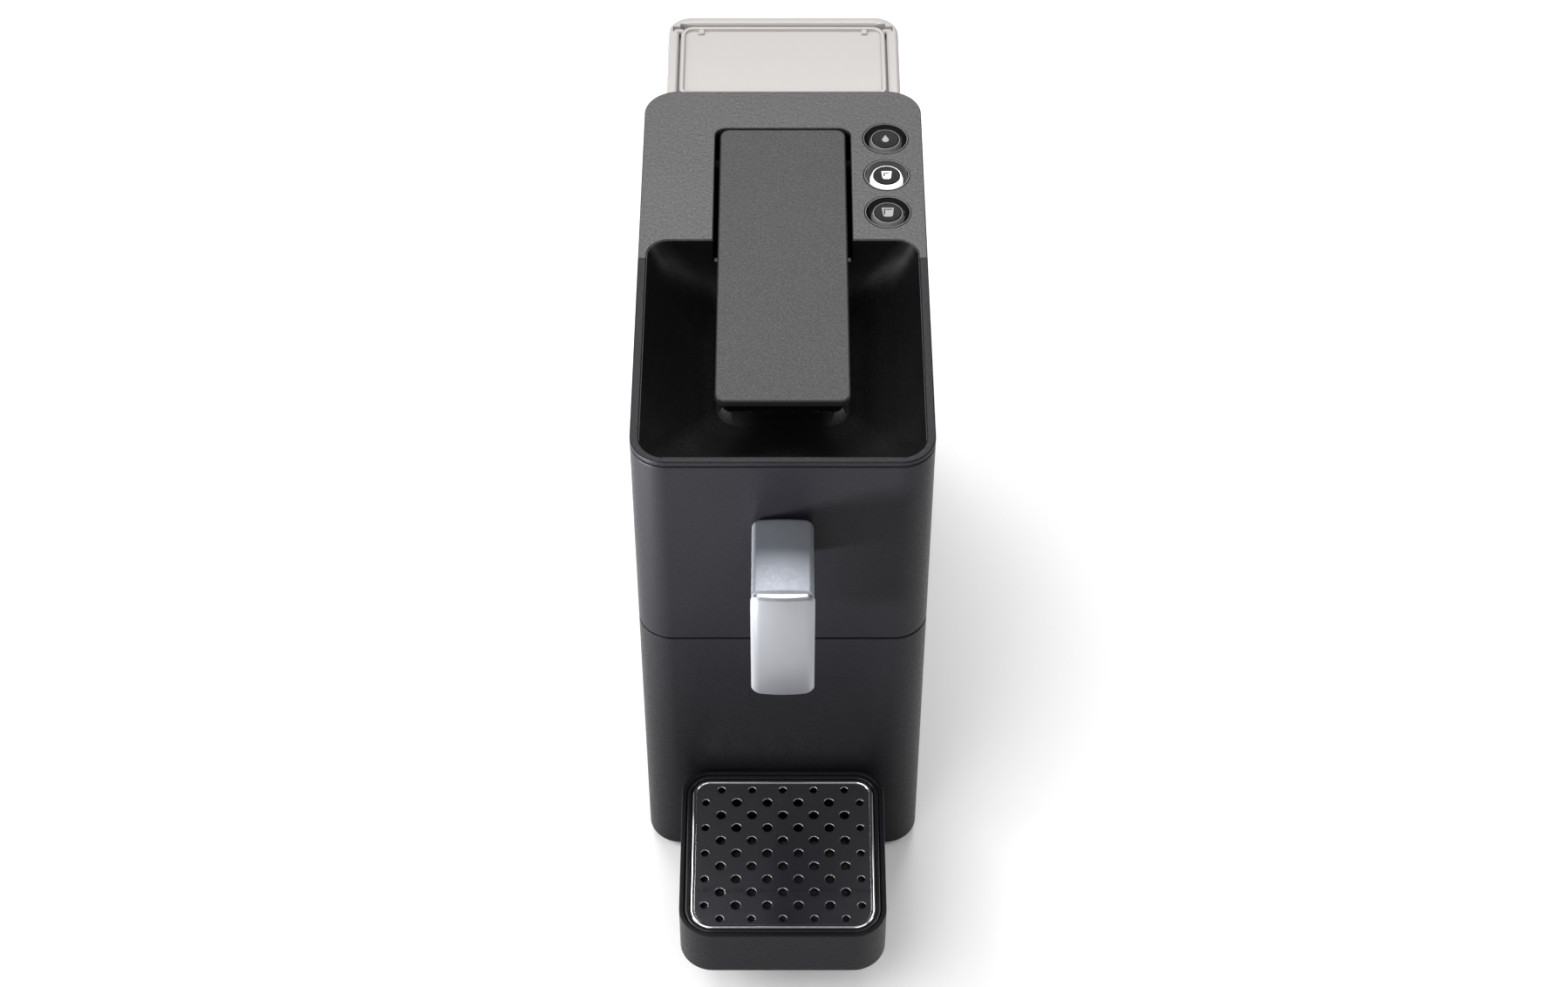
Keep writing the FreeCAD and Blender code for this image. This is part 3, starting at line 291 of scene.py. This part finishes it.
def rounded(points, steps=5, closed=True):
    """Polygon of (u, v) or (u, v, radius) with its corners rounded. Gives (u, v) pairs."""
    made, count = [], len(points)
    for i, point in enumerate(points):
        here = Vector(point[:2])
        radius = point[2] if len(point) > 2 else 0
        if radius <= 0 or (not closed and i in (0, count - 1)):
            made.append(tuple(here))
            continue
        back = (Vector(points[i - 1][:2]) - here).normalized()
        ahead = (Vector(points[(i + 1) % count][:2]) - here).normalized()
        half = math.acos(max(-1, min(1, back.dot(ahead)))) / 2
        reach = radius / math.tan(half)
        centre = here + (back + ahead).normalized() * (radius / math.sin(half))
        start, stop = here + back * reach - centre, here + ahead * reach - centre
        sweep = start.angle_signed(stop)
        for k in range(steps + 1):
            turned = start.copy()
            turned.rotate(Matrix.Rotation(-sweep * k / steps, 2))
            made.append(tuple(centre + turned))
    return made


def outline(rect, radii, inset=0.0, steps=9):
    """Rounded rectangle, anticlockwise from the front left. rect is x0, x1, y0, y1."""
    x0, x1, y0, y1 = rect
    four = [radii] * 4 if isinstance(radii, (int, float)) else radii
    corners = [(x0, y0, 1, 1, 180), (x1, y0, -1, 1, 270), (x1, y1, -1, -1, 0), (x0, y1, 1, -1, 90)]
    points = []
    for (cx, cy, sx, sy, start), radius in zip(corners, four):
        r = max(radius - inset, 0.12)
        centre = Vector((cx + sx * (inset + r), cy + sy * (inset + r)))
        for k in range(steps + 1):
            a = math.radians(start + 90 * k / steps)
            points.append((centre.x + r * math.cos(a), centre.y + r * math.sin(a)))
    return points


def new_piece(name, bm, material, place=None, flat=True):
    """Object from a bmesh in millimetres, smooth except across sharp edges.

    flat keeps large faces level right up to their rounded edges.
    """
    bmesh.ops.remove_doubles(bm, verts=bm.verts, dist=1e-4)
    bmesh.ops.recalc_face_normals(bm, faces=bm.faces)
    if place is not None:
        bm.transform(place)
    bm.transform(Matrix.Scale(MM, 4))
    mesh = bpy.data.meshes.new(name)
    bm.to_mesh(mesh)
    bm.free()
    mesh.shade_smooth()
    mesh.set_sharp_from_angle(angle=SHARP)
    mesh.materials.append(materials[material])
    piece = bpy.data.objects.new(name, mesh)
    bpy.context.scene.collection.objects.link(piece)
    if flat:
        weighted = piece.modifiers.new("weighted_normals", "WEIGHTED_NORMAL")
        weighted.mode = "FACE_AREA"
        weighted.keep_sharp = True
        weighted.weight = 100
    return piece


def stacked(levels, closed=False):
    """bmesh through levels of points, each a ring of the same count. closed joins last to first."""
    bm = bmesh.new()
    rings = [[bm.verts.new(p) for p in level] for level in levels]
    pairs = list(zip(rings, rings[1:])) + ([(rings[-1], rings[0])] if closed else [])
    for low, high in pairs:
        for k in range(len(low)):
            following = (k + 1) % len(low)
            bm.faces.new((low[k], low[following], high[following], high[k]))
    if not closed:
        bm.faces.new(list(reversed(rings[0])))
        bm.faces.new(rings[-1])
    return bm


def swept(rect, radii, profile, closed=False, steps=9):
    """Rounded rectangle swept through a profile of (inset, z)."""
    return stacked([[(x, y, z) for x, y in outline(rect, radii, inset, steps)]
                    for inset, z in profile], closed)


def circle(x, y, radius, steps=40):
    return [(x + radius * math.cos(2 * math.pi * k / steps), y + radius * math.sin(2 * math.pi * k / steps))
            for k in range(steps)]


def turned(profile, x=0.0, y=0.0, closed=False, steps=48):
    """Solid of revolution about a vertical line. profile is (radius, z)."""
    return stacked([[(u, v, z) for u, v in circle(x, y, max(radius, 1e-3), steps)]
                    for radius, z in profile], closed)


def plate(outlines, z0, z1, bevel, resolution=3):
    """Flat plate from closed outlines, holes included, with every edge rounded."""
    curve = bpy.data.curves.new("plate", "CURVE")
    curve.dimensions = "2D"
    curve.fill_mode = "BOTH"
    curve.extrude = (z1 - z0) / 2 - bevel
    curve.bevel_depth = bevel
    curve.bevel_resolution = resolution
    curve.offset = -bevel
    for points in outlines:
        spline = curve.splines.new("POLY")
        spline.points.add(len(points) - 1)
        for made, (u, v) in zip(spline.points, points):
            made.co = (u, v, 0, 1)
        spline.use_cyclic_u = True
    holder = bpy.data.objects.new("plate", curve)
    bpy.context.scene.collection.objects.link(holder)
    mesh = bpy.data.meshes.new_from_object(holder)
    bpy.data.objects.remove(holder)
    bpy.data.curves.remove(curve)
    bm = bmesh.new()
    bm.from_mesh(mesh)
    bpy.data.meshes.remove(mesh)
    bmesh.ops.remove_doubles(bm, verts=bm.verts, dist=1e-4)
    level = [e for e in bm.edges if e.link_faces and all(abs(f.normal.z) > 0.999 for f in e.link_faces)]
    bmesh.ops.dissolve_limit(bm, angle_limit=0.01, verts=[], edges=level)
    bm.transform(Matrix.Translation((0, 0, (z0 + z1) / 2)))
    return bm


def box_shape(x0, x1, y0, y1, z0, z1, bevel=0.3):
    """Block with its level edges bevelled and its upright ones barely rounded."""
    return swept((x0, x1, y0, y1), 0.2, [(bevel, z0), (0, z0 + bevel), (0, z1 - bevel), (bevel, z1)], steps=1)


def join(*shapes):
    """One bmesh out of several."""
    whole = bmesh.new()
    for shape in shapes:
        mesh = bpy.data.meshes.new("part")
        shape.to_mesh(mesh)
        shape.free()
        whole.from_mesh(mesh)
        bpy.data.meshes.remove(mesh)
    return whole


def carve(piece, *cutters):
    """Cuts closed shapes out of a piece, one after another, because they may overlap."""
    keep = piece.modifiers.get("weighted_normals")
    if keep:
        keep.show_viewport = False
    for cutter in cutters:
        low = [min(v.co[i] for v in piece.data.vertices) for i in range(3)]
        high = [max(v.co[i] for v in piece.data.vertices) for i in range(3)]
        tool = new_piece("cutter", cutter, "steel", flat=False)
        modifier = piece.modifiers.new("cut", "BOOLEAN")
        modifier.operation = "DIFFERENCE"
        modifier.solver = "EXACT"
        modifier.object = tool
        bpy.context.view_layer.update()
        done = bpy.data.meshes.new_from_object(piece.evaluated_get(bpy.context.evaluated_depsgraph_get()))
        piece.modifiers.remove(modifier)
        bpy.data.objects.remove(tool)
        old, piece.data = piece.data, done
        bpy.data.meshes.remove(old)
        while len(done.materials) > 1:
            done.materials.pop()
        for face in done.polygons:
            face.material_index = 0
        done.set_sharp_from_angle(angle=SHARP)
        lost = max([abs(min(v.co[i] for v in done.vertices) - low[i]) for i in range(3)]
                   + [abs(max(v.co[i] for v in done.vertices) - high[i]) for i in range(3)])
        assert lost < 0.0005, f"cut changed the size of {piece.name}"
    if keep:
        keep.show_viewport = True
    return piece


def stands_for(piece, body, slot, *replaced):
    """Rides the piece on its body and hides the CAD nodes that it stands for. The slot is not used."""
    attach(piece, body)
    if replaced:
        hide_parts(*replaced)
    return piece


def span(node):
    """x0, x1, y0, y1, z0, z1 of a CAD node, in millimetres."""
    low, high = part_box(node)
    return [v / MM for pair in zip(low, high) for v in pair]


# Casing

HALF = 59.0                 # half of the body's width
BODY_CORNER = 14.0
WALL = 2.5
FRONT, REAR = -95.0, 122.0
SEAM = 147.0
CASING_TOP = SEAM - 0.3     # of the lower casing and the drawer's front
SPLIT = -55.0               # where the drawer's front ends on the sides
HOOKS = (-26, 26)           # the cup rest's hooks, across the drawer's front
BOSSES = [(-51.6, -40), (51.6, -40), (-51.6, 101), (51.6, 101)]

# From a plate's (u, v, thickness) to the frame
ACROSS = Matrix(((0, 0, 1, 0), (1, 0, 0, 0), (0, 1, 0, 0), (0, 0, 0, 1)))
UPRIGHT = Matrix(((1, 0, 0, 0), (0, 0, -1, 0), (0, 1, 0, 0), (0, 0, 0, 1)))


def casing_profile(z0, z1):
    """Wall section with softened outer edges: outside from the bottom up, then down the inside."""
    return rounded([(0, z0, 0.7), (0, z1, 0.7), (WALL, z1, 0.3), (WALL, z0, 0.3)], 4)


def open_wall(y_round, y_open):
    """Plan of a wall with rounded corners at one end and open at the other."""
    inner, corner = HALF - WALL, BODY_CORNER - WALL
    way = math.copysign(WALL, y_open - y_round)
    return rounded([(-HALF, y_open), (-HALF, y_round, BODY_CORNER), (HALF, y_round, BODY_CORNER),
                    (HALF, y_open), (inner, y_open), (inner, y_round + way, corner),
                    (-inner, y_round + way, corner), (-inner, y_open)], 12)


def make_casing():
    """Upper casing with the spout's hole, and the open lower casing with its screw bosses."""
    x0, x1, y0, y1, z0, z1 = span("upper_casing")
    wall = swept((x0, x1, y0, y1), BODY_CORNER, casing_profile(z0, z1), True, 12)
    upper = new_piece("upper_casing_wrap", wall, "casing")
    carve(upper, swept((-9, 9, y0 - 2, y0 + 6), 0.5, [(0, 199.5), (0, 218.5)]))
    stands_for(upper, "housing", "casing", "upper_casing")

    bosses = []
    for x, y in BOSSES:
        side = math.copysign(1, x)
        bosses.append(turned([(1.4, 6.2), (3.8, 6.2), (4, 6.5), (4, 29.6), (3.6, 30), (1.4, 30)], x, y, True))
        low, high = sorted((x + 3 * side, 57 * side))
        bosses.append(box_shape(low, high, y - 1.5, y + 1.5, 6.4, 30, 0.2))
    lower = new_piece("lower_casing_wrap", plate([open_wall(REAR, SPLIT)], 3.6, CASING_TOP, 0.5), "casing")
    carve(lower, box_shape(-50.5, 50.5, REAR - 10, REAR + 4, 0, 18.5))
    stands_for(lower, "housing", "casing", "lower_casing")
    stands_for(new_piece("casing_bosses", join(*bosses), "casing"), "housing", "casing")


def make_drawer():
    """Wrap-round front with slots for the cup rest's hooks."""
    wall = plate([open_wall(FRONT, SPLIT - 0.5)], 4.2, CASING_TOP, 0.5)
    front = new_piece("drawer_front_wrap", wall, "casing")
    carve(front, *[box_shape(x - 2.6, x + 2.6, FRONT - 2, FRONT + 5, 7, 54) for x in HOOKS])
    stands_for(front, "drawer", "casing", "drawer_front")


# Deck, bowl and lever

DECK_TOP = 253.0
DECK_LOW = DECK_TOP - 2.4
SLOT = 28.6                 # half width of the lever's slot
BOWL_HALF, BOWL_REAR = 55.5, 29.0
RIM_INNER, RIM_END = -92.2, 18.0
HINGE, CRANK = (79, 247), (63, 245)
LEVER_LOW, GRIP_LOW = 244.6, 250.6
BUTTON_X = 43.4
BUTTONS = {"rinse": 91.3, "espresso": 68.4, "lungo": 45.6}


def make_deck():
    """Deck behind the bowl, the rim round the bowl in the casing's darker colour as painted shade, and the
    well that the lever's rear lies in.
    """
    edge = rounded([(-HALF, RIM_END), (-BOWL_HALF, RIM_END), (-BOWL_HALF, BOWL_REAR, 9),
                    (-SLOT, BOWL_REAR, 0.9), (-SLOT, 98, 4.6), (SLOT, 98, 4.6), (SLOT, BOWL_REAR, 0.9),
                    (BOWL_HALF, BOWL_REAR, 9), (BOWL_HALF, RIM_END), (HALF, RIM_END),
                    (HALF, REAR, BODY_CORNER), (-HALF, REAR, BODY_CORNER)], 12)
    holes = [circle(BUTTON_X, y, 9.5, 64) for y in BUTTONS.values()]
    deck = new_piece("deck_plate", plate([edge] + holes, DECK_LOW, DECK_TOP, 0.6), "deck")
    stands_for(deck, "housing", "deck", "top_cover")
    # The rim is of one moulding with the deck, but it takes the casing's darker colour: painted shade for the
    # light falling off towards the front.
    edge = rounded([(-HALF, RIM_END), (-HALF, FRONT, BODY_CORNER), (HALF, FRONT, BODY_CORNER),
                    (HALF, RIM_END), (BOWL_HALF, RIM_END), (BOWL_HALF, RIM_INNER, 11),
                    (-BOWL_HALF, RIM_INNER, 11), (-BOWL_HALF, RIM_END)], 12)
    rim = new_piece("bowl_rim", plate([edge], DECK_LOW, DECK_TOP, 0.6), "casing")
    stands_for(rim, "housing", "casing")

    wall = rounded([(-SLOT - 2, 31.6), (-SLOT - 2, 100, 6.5), (SLOT + 2, 100, 6.5), (SLOT + 2, 31.6),
                    (SLOT, 31.6), (SLOT, 98, 4.5), (-SLOT, 98, 4.5), (-SLOT, 31.6)], 7)
    floor = rounded([(-SLOT - 1, 31.6), (-SLOT - 1, 99, 5), (SLOT + 1, 99, 5), (SLOT + 1, 31.6),
                     (15, 31.6), (15, 78, 2), (-15, 78, 2), (-15, 31.6)], 5)
    parts = [plate([wall], 227.2, 250.7, 0.2), plate([floor], 227, 229, 0.3)]
    for side in (-1, 1):
        low, high = sorted((side * 23.4, side * SLOT))
        ear = rounded([(75.6, 228.5), (82.4, 228.5), (82.4, 250.4, 3.3), (75.6, 250.4, 3.3)], 10)
        ear = plate([ear, circle(*HINGE, 2.05, 32)], low, high, 0.25)
        ear.transform(ACROSS)
        parts.append(ear)
    stands_for(new_piece("lever_well", join(*parts), "matte_black"), "housing", "gloss_black")


# Depth of a level, how far its sides, front and rear have come in, and its corner radius
BOWL_LEVELS = [(0, 0, 0, 0, 9), (7, 3.2, 5, 1.2, 11), (15, 9, 14, 3.4, 13), (22, 16, 25, 7, 14),
               (27, 22.5, 35, 11.5, 13), (30, 29, 45, 17, 9)]


def bowl_levels(count=30):
    """Smooth curve through the stated levels."""
    knots = BOWL_LEVELS
    levels = []
    for k in range(count + 1):
        place = k / count * (len(knots) - 1)
        i = min(int(place), len(knots) - 2)
        t = place - i
        before, low, high = knots[max(i - 1, 0)], knots[i], knots[i + 1]
        after = knots[min(i + 2, len(knots) - 1)]
        levels.append([0.5 * (2 * b + (c - a) * t + (2 * a - 5 * b + 4 * c - d) * t * t
                              + (3 * b - a - 3 * c + d) * t ** 3)
                       for a, b, c, d in zip(before, low, high, after)])
    return levels


def bowl_ring(level, grow=0.0, drop=0.0):
    """One level of the bowl, grown outwards and lowered for the shell's underside."""
    depth, side, front, rear, radius = level
    half = BOWL_HALF - 0.2 - side + grow
    rect = (-half, half, RIM_INNER + 0.2 + front - grow, BOWL_REAR - 0.2 - rear + grow)
    limit = min((rect[1] - rect[0]) / 2, (rect[3] - rect[2]) / 2) - 0.2
    z = DECK_TOP - 0.4 - depth - drop
    return [(x, y, z) for x, y in outline(rect, min(radius + grow, limit), 0, 12)]


def make_bowl():
    """Closed skin down the bowl and the chute, and back up the underside."""
    levels = bowl_levels()
    skin = [bowl_ring(level) for level in levels]
    slot, chute = (-23.6, 23.6, -38.6, 3.6), (-26, 26, -41, 6)
    for rect, radius, inset, z in ((slot, 2.6, -0.9, 222.55), (slot, 2.3, -0.3, 222.2), (slot, 2, 0, 221.3),
                                   (slot, 2, 0, 214.9), (slot, 2, -0.3, 214.6), (chute, 3, 0.3, 214.6),
                                   (chute, 3, 0, 215.0), (chute, 3, 0, 219.6)):
        skin.append([(x, y, z) for x, y in outline(rect, radius - inset, inset, 12)])
    shell = [bowl_ring(level, 0.15 + 1.8 * min(1, level[0] / 5), 2.0 * level[0] / 30) for level in levels]
    skin += list(reversed(shell))
    bowl = new_piece("bowl_skin", stacked(skin, True), "bowl_black", flat=False)
    carve(bowl, box_shape(-SLOT, SLOT, 4.8, 34, 242.6, 256, 0.5))
    stands_for(bowl, "housing", "gloss_black", "top_bowl")


def make_lever():
    """Grip over a tapered frame, and under it the roof and cheeks that carry the two pins."""
    rect, radii = (-22.9, 22.9, -60.6, 70), [2.6, 2.6, 2, 2]
    levels = [(outline(rect, radii, 0.5, 8), LEVER_LOW), (outline(rect, radii, 0, 8), LEVER_LOW + 0.5),
              (outline((-25.3, 25.3, -62.3, 70), [3.4, 3.4, 2, 2], 0, 8), GRIP_LOW - 0.05)]
    taper = stacked([[(x, y, z) for x, y in ring] for ring, z in levels])
    # Drawn near-black rather than in its own grey inner plastic: painted shade under the lever.
    shell = new_piece("lever_underframe", taper, "matte_black")
    carve(shell, box_shape(-20, 20, -10, 66, 240, 249, 0.3), box_shape(-14.4, 14.4, 20, 72, 238, 254, 0.3))
    stands_for(shell, "lever", "inner_plastic", "lever_frame")
    roof = [(-22.4, 66.4), (-14.6, 66.4), (-14.6, 72.4), (14.6, 72.4), (14.6, 66.4), (22.4, 66.4),
            (22.4, 85), (-22.4, 85)]
    parts = [plate([roof], 249.3, 250.5, 0.2)]
    for low in (-19.4, 15.0):
        cheek = rounded([(56, 241.2, 1), (68, 241.2, 1), (82, 243.6, 2), (82.6, 250.5, 0.5), (56, 250.5)], 6)
        cheek = plate([cheek, circle(*HINGE, 2.05, 32), circle(*CRANK, 2.03, 32)], low, low + 4.4, 0.25)
        cheek.transform(ACROSS)
        parts.append(cheek)
    # The cheeks too are drawn near-black as painted shade under the lever.
    stands_for(new_piece("lever_cheeks", join(*parts), "matte_black"), "lever", "inner_plastic")
    grip = plate([outline((-26.5, 26.5, -63.5, 96), 4.2, 0, 10)], GRIP_LOW, 254, 0.85, 5)
    stands_for(new_piece("lever_grip", grip, "lever_grey"), "lever", "lever_grey", "lever_cover")


# Buttons

def cup_icon(x, y, width, height):
    """Filled cup seen from the side: straight rim, rounded foot."""
    half, foot = width / 2, width * 0.39
    return rounded([(x - half, y + height / 2, 0.1), (x - foot, y - height / 2, width * 0.24),
                    (x + foot, y - height / 2, width * 0.24), (x + half, y + height / 2, 0.1)], 6)


def corner_mark(x, y, size, line):
    """Angle along the upper left of a cup icon."""
    return [(x, y), (x, y - size), (x + line, y - size), (x + line, y - line), (x + size, y - line),
            (x + size, y)]


def drop_icon(x, y, radius):
    """Water drop: a point above most of a circle."""
    arc = [math.radians(25 - 230 * k / 24) for k in range(25)]
    return [(x, y + 1.75 * radius)] + [(x + radius * math.cos(a), y - 0.3 * radius + radius * math.sin(a))
                                       for a in arc]


def make_icons():
    """Generic marks on the button faces: a drop, a small cup and a large cup."""
    x = BUTTON_X
    marks = [("rinse", "icon_grey", drop_icon(x, BUTTONS["rinse"] - 0.2, 1.45), None),
             ("espresso", "icon_white", cup_icon(x, BUTTONS["espresso"], 4.3, 4.8),
              corner_mark(x - 1.3, BUTTONS["espresso"] + 1.4, 2.3, 0.55)),
             ("lungo", "icon_grey", cup_icon(x, BUTTONS["lungo"], 5.0, 5.4),
              corner_mark(x - 1.7, BUTTONS["lungo"] + 1.9, 3.4, 0.5))]
    for name, material, shape, mark in marks:
        icon = new_piece(f"{name}_icon", plate([shape], 252.72, 252.92, 0.02, 1), material)
        stands_for(icon, f"{name}_button", "button_face")
        if mark:
            line = new_piece(f"{name}_icon_line", plate([mark], 252.8, 252.96, 0.02, 1), "button_face")
            stands_for(line, f"{name}_button", "button_face")


def make_buttons():
    """A sunk dish, a light ring and a pressed face for each button."""
    dishes = []
    for name, y in BUTTONS.items():
        profile = [(9.35, 252.95), (9.45, 252.7), (9.45, 247.1), (7.35, 247.1), (7.35, 249.6), (7.6, 249.8),
                   (8.05, 250.1), (8.45, 250.7), (8.75, 251.5), (8.95, 252.4), (9.1, 252.95)]
        dishes.append(turned(profile, BUTTON_X, y, True, 72))
        ring = [(4.2, 246.6), (7, 246.6), (7, 250.1), (6.9, 250.45), (6.2, 252.4), (6.05, 252.6),
                (5.85, 252.6), (5.78, 252.45), (5.78, 251.2), (4.2, 251.2)]
        glow = "button_lit" if name == "espresso" else "button_glow"
        collar = new_piece(f"{name}_collar", turned(ring, BUTTON_X, y, True, 72), glow)
        stands_for(collar, f"{name}_button", "button_glow", f"{name}_button_ring")
        face = [(0, 246.4), (2.2, 246.4), (2.2, 249.8), (4.15, 249.8), (4.15, 251.25), (5.65, 251.25),
                (5.65, 252.6), (5.55, 252.85), (5.3, 252.98), (4.8, 252.95), (3.0, 252.85), (0, 252.8)]
        cap = new_piece(f"{name}_face", turned(face, BUTTON_X, y, False, 72), "button_face")
        stands_for(cap, f"{name}_button", "button_face", f"{name}_button_cap")
    dishes = new_piece("button_dishes", join(*dishes), "dish_black")
    stands_for(dishes, "housing", "gloss_black", "button_bezels")


# Spout

def domed(bm, half, bulge, above, strips=24):
    """Bulges everything above a height across its width, so that its middle stays the highest."""
    for k in range(1, strips):
        bmesh.ops.bisect_plane(bm, geom=bm.verts[:] + bm.edges[:] + bm.faces[:],
                               plane_co=(half * (2 * k / strips - 1), 0, 0), plane_no=(1, 0, 0))
    for vert in bm.verts:
        if vert.co.z > above:
            vert.co.z -= bulge * (vert.co.x / half) ** 2
    return bm


def make_spout():
    """Arm and leg in satin metal, and the domed plate on their front in a lighter copy of it, a painted
    highlight.
    """
    corners = [0.6, 0.6, 3.2, 3.2]
    arm_top = rounded([(0.6, 201.4), (0, 201.4, 0.4), (0, 221.7, 1.9), (3, 221.7)], 7, False)
    arm = domed(swept((-12.05, 12.05, -133.8, -95.1), corners, arm_top, steps=10), 12.05, 0.9, 216)
    leg = swept((-12.0, 12.0, -133.75, -119.8), [0.6, 0.6, 3.0, 3.0], [(0.6, 165), (0, 165.6), (0, 203)],
                steps=10)
    body = new_piece("spout_body", join(arm, leg), "satin_metal", flat=False)
    stands_for(body, "housing", "satin_metal", "spout_arm")
    face = swept((-12.4, 12.4, 163, 222), 3.6,
                 [(0.3, 134), (0, 134.3), (0, 136.4), (0.8, 137.2), (1.15, 137.4)])
    # The face is the spout's satin metal, and its lighter copy is painted highlight.
    face = new_piece("spout_face", domed(face, 12.4, 1.3, 134.4), "bright_metal", UPRIGHT, flat=False)
    stands_for(face, "housing", "satin_metal", "spout_cover")


# Cup rest

TRAY = (-43, 43, -180, -95.4)
TRAY_CORNERS = [14, 14, 12, 12]


def grille_holes():
    """Places and radii of the holes: rows of five and six in turn, smaller round the edge."""
    pitch, rows = 13.1, 11
    holes = []
    for row in range(rows):
        count = 6 if row % 2 else 5
        for column in range(count):
            x = (column - (count - 1) / 2) * pitch
            edge = row in (0, rows - 1) or abs(x) > 2.4 * pitch
            holes.append((x, -137.9 + (row - (rows - 1) / 2) * pitch / 2, 1.65 if edge else 2.1))
    return holes


def make_tray():
    """Cup rest: outer shell with its hooks, black liner, and the steel grille in its rim."""
    wall = rounded([(3, 32), (0, 32, 0.9), (0, 58, 0.6), (2, 58, 0.45), (2, 34, 0.4), (3.5, 34)], 5, False)
    parts = [swept(TRAY, TRAY_CORNERS, wall, steps=12)]
    for x in HOOKS:
        parts.append(box_shape(x - 2.2, x + 2.2, -96.6, -92, 38, 52))
        parts.append(box_shape(x - 4.5, x + 4.5, -92.1, -90.1, 38, 52))
    stands_for(new_piece("cup_rest_shell", join(*parts), "casing"), "cup_rest", "casing", "tray_shell")
    wall = rounded([(5, 34.3), (2.3, 34.3, 0.5), (2.3, 57.7, 0.5), (4, 57.7, 0.3), (4, 54.6, 0.2),
                    (6.2, 54.6, 0.3), (6.2, 36.2, 0.8), (9, 36.2)], 4, False)
    liner = new_piece("drip_liner", swept(TRAY, TRAY_CORNERS, wall, steps=12), "liner_black")
    stands_for(liner, "liner", "gloss_black", "drip_bowl")
    rim = rounded([(4.2, 54.7, 0.2), (4.2, 57.5, 1.1), (6.4, 57.45, 0.9), (6.4, 56.3, 0.2), (5.4, 56.3, 0.2),
                   (5.4, 54.7, 0.2)], 6)
    sheet = outline(TRAY, TRAY_CORNERS, 6.2, 12)
    sheet = plate([sheet] + [circle(x, y, r, 36) for x, y, r in grille_holes()], 56.1, 57.0, 0.14, 3)
    rim = swept(TRAY, TRAY_CORNERS, rim, True, 12)
    grille = new_piece("steel_grille", join(rim, sheet), "polished_steel")
    stands_for(grille, "grille", "polished_steel", "drip_grille")


# Tank

TANK = (-51, 51, 123, 180)
TANK_CORNERS = [6, 6, 11, 11]
LID = (-45.1, 45.1, 128.5, 174.1)
LID_CORNERS = [3.7, 3.7, 5.7, 5.7]
LID_HINGE = (171.4, 244.9)
VALVE_Y = 151.5


def make_tank():
    """Open tank with a seat for its lid, the valve's cup in its floor, and the lid on its hinge."""
    section = rounded([(4, 20.5), (0, 20.5, 1.4), (0, 247, 1.7), (5.2, 247, 1.3), (5.2, 243.2, 0.2),
                       (8.2, 243.2, 0.4), (8.2, 239.2, 0.8), (2.2, 238, 1.2), (2.2, 23, 1.6), (6, 23)],
                      6, False)
    shell = new_piece("tank_shell", swept(TANK, TANK_CORNERS, section, steps=12), "clear_tank")
    cutters = [turned([(7.6, 18), (7.6, 30)], 0, VALVE_Y)]
    cutters.append(box_shape(-45.4, 45.4, 169, 174.8, 240.5, 252, 0.1))
    for side in (-1, 1):
        low, high = sorted((side * 43, side * 48.6))
        cutters.append(box_shape(low, high, 169.8, 173, 243.3, 252, 0.3))
    carve(shell, *cutters)
    stands_for(shell, "tank", "clear_tank", "tank_body")
    cup = turned([(3.4, 30), (7.6, 30), (7.6, 23), (9.6, 23), (9.6, 32.6), (9.2, 33), (3.4, 33)],
                 0, VALVE_Y, True)
    stands_for(new_piece("valve_cup", cup, "clear_tank", flat=False), "tank", "clear_tank")

    panel = rounded([(3, 243.4), (0, 243.4, 0.4), (0, 246.2, 0.7), (1.8, 246.2, 0.5), (2.2, 245, 0.4),
                     (5, 245)], 5, False)
    parts = [swept(LID, LID_CORNERS, panel, steps=10)]
    for side in (-1, 1):
        lug = turned([(0.2, 44), (1.4, 44.2), (1.4, 48.0), (1.2, 48.2), (0.2, 48.2)], 0, 0, False, 24)
        lug.transform(Matrix.Translation((0, *LID_HINGE)) @ Matrix.Rotation(math.radians(90 * side), 4, "Y"))
        parts.append(lug)
        parts.append(box_shape(side * 36 - 1.3, side * 36 + 1.3, 169.5, 173.2, 244.8, 245.9, 0.35))
    stands_for(new_piece("lid_panel", join(*parts), "clear_tank"), "lid", "clear_tank", "tank_lid")


make_camera()
make_stage()
make_casing()
make_drawer()
make_deck()
make_bowl()
make_lever()
make_buttons()
make_icons()
make_spout()
make_tray()
make_tank()


def finish_cad_nodes():
    """Gives the CAD nodes that stay in view smooth edges and their slot's material."""
    slots = {s["node"]: s["material_slot"] for s in frame["record"]["subparts"]}
    for name, item in frame["nodes"].items():
        item.data.materials.clear()
        item.data.materials.append(materials[slots[name]])
        item.data.shade_smooth()
        weld = item.modifiers.new("weld", "WELD")
        weld.merge_threshold = 1e-6
        split = item.modifiers.new("split", "EDGE_SPLIT")
        split.split_angle = SHARP


finish_cad_nodes()
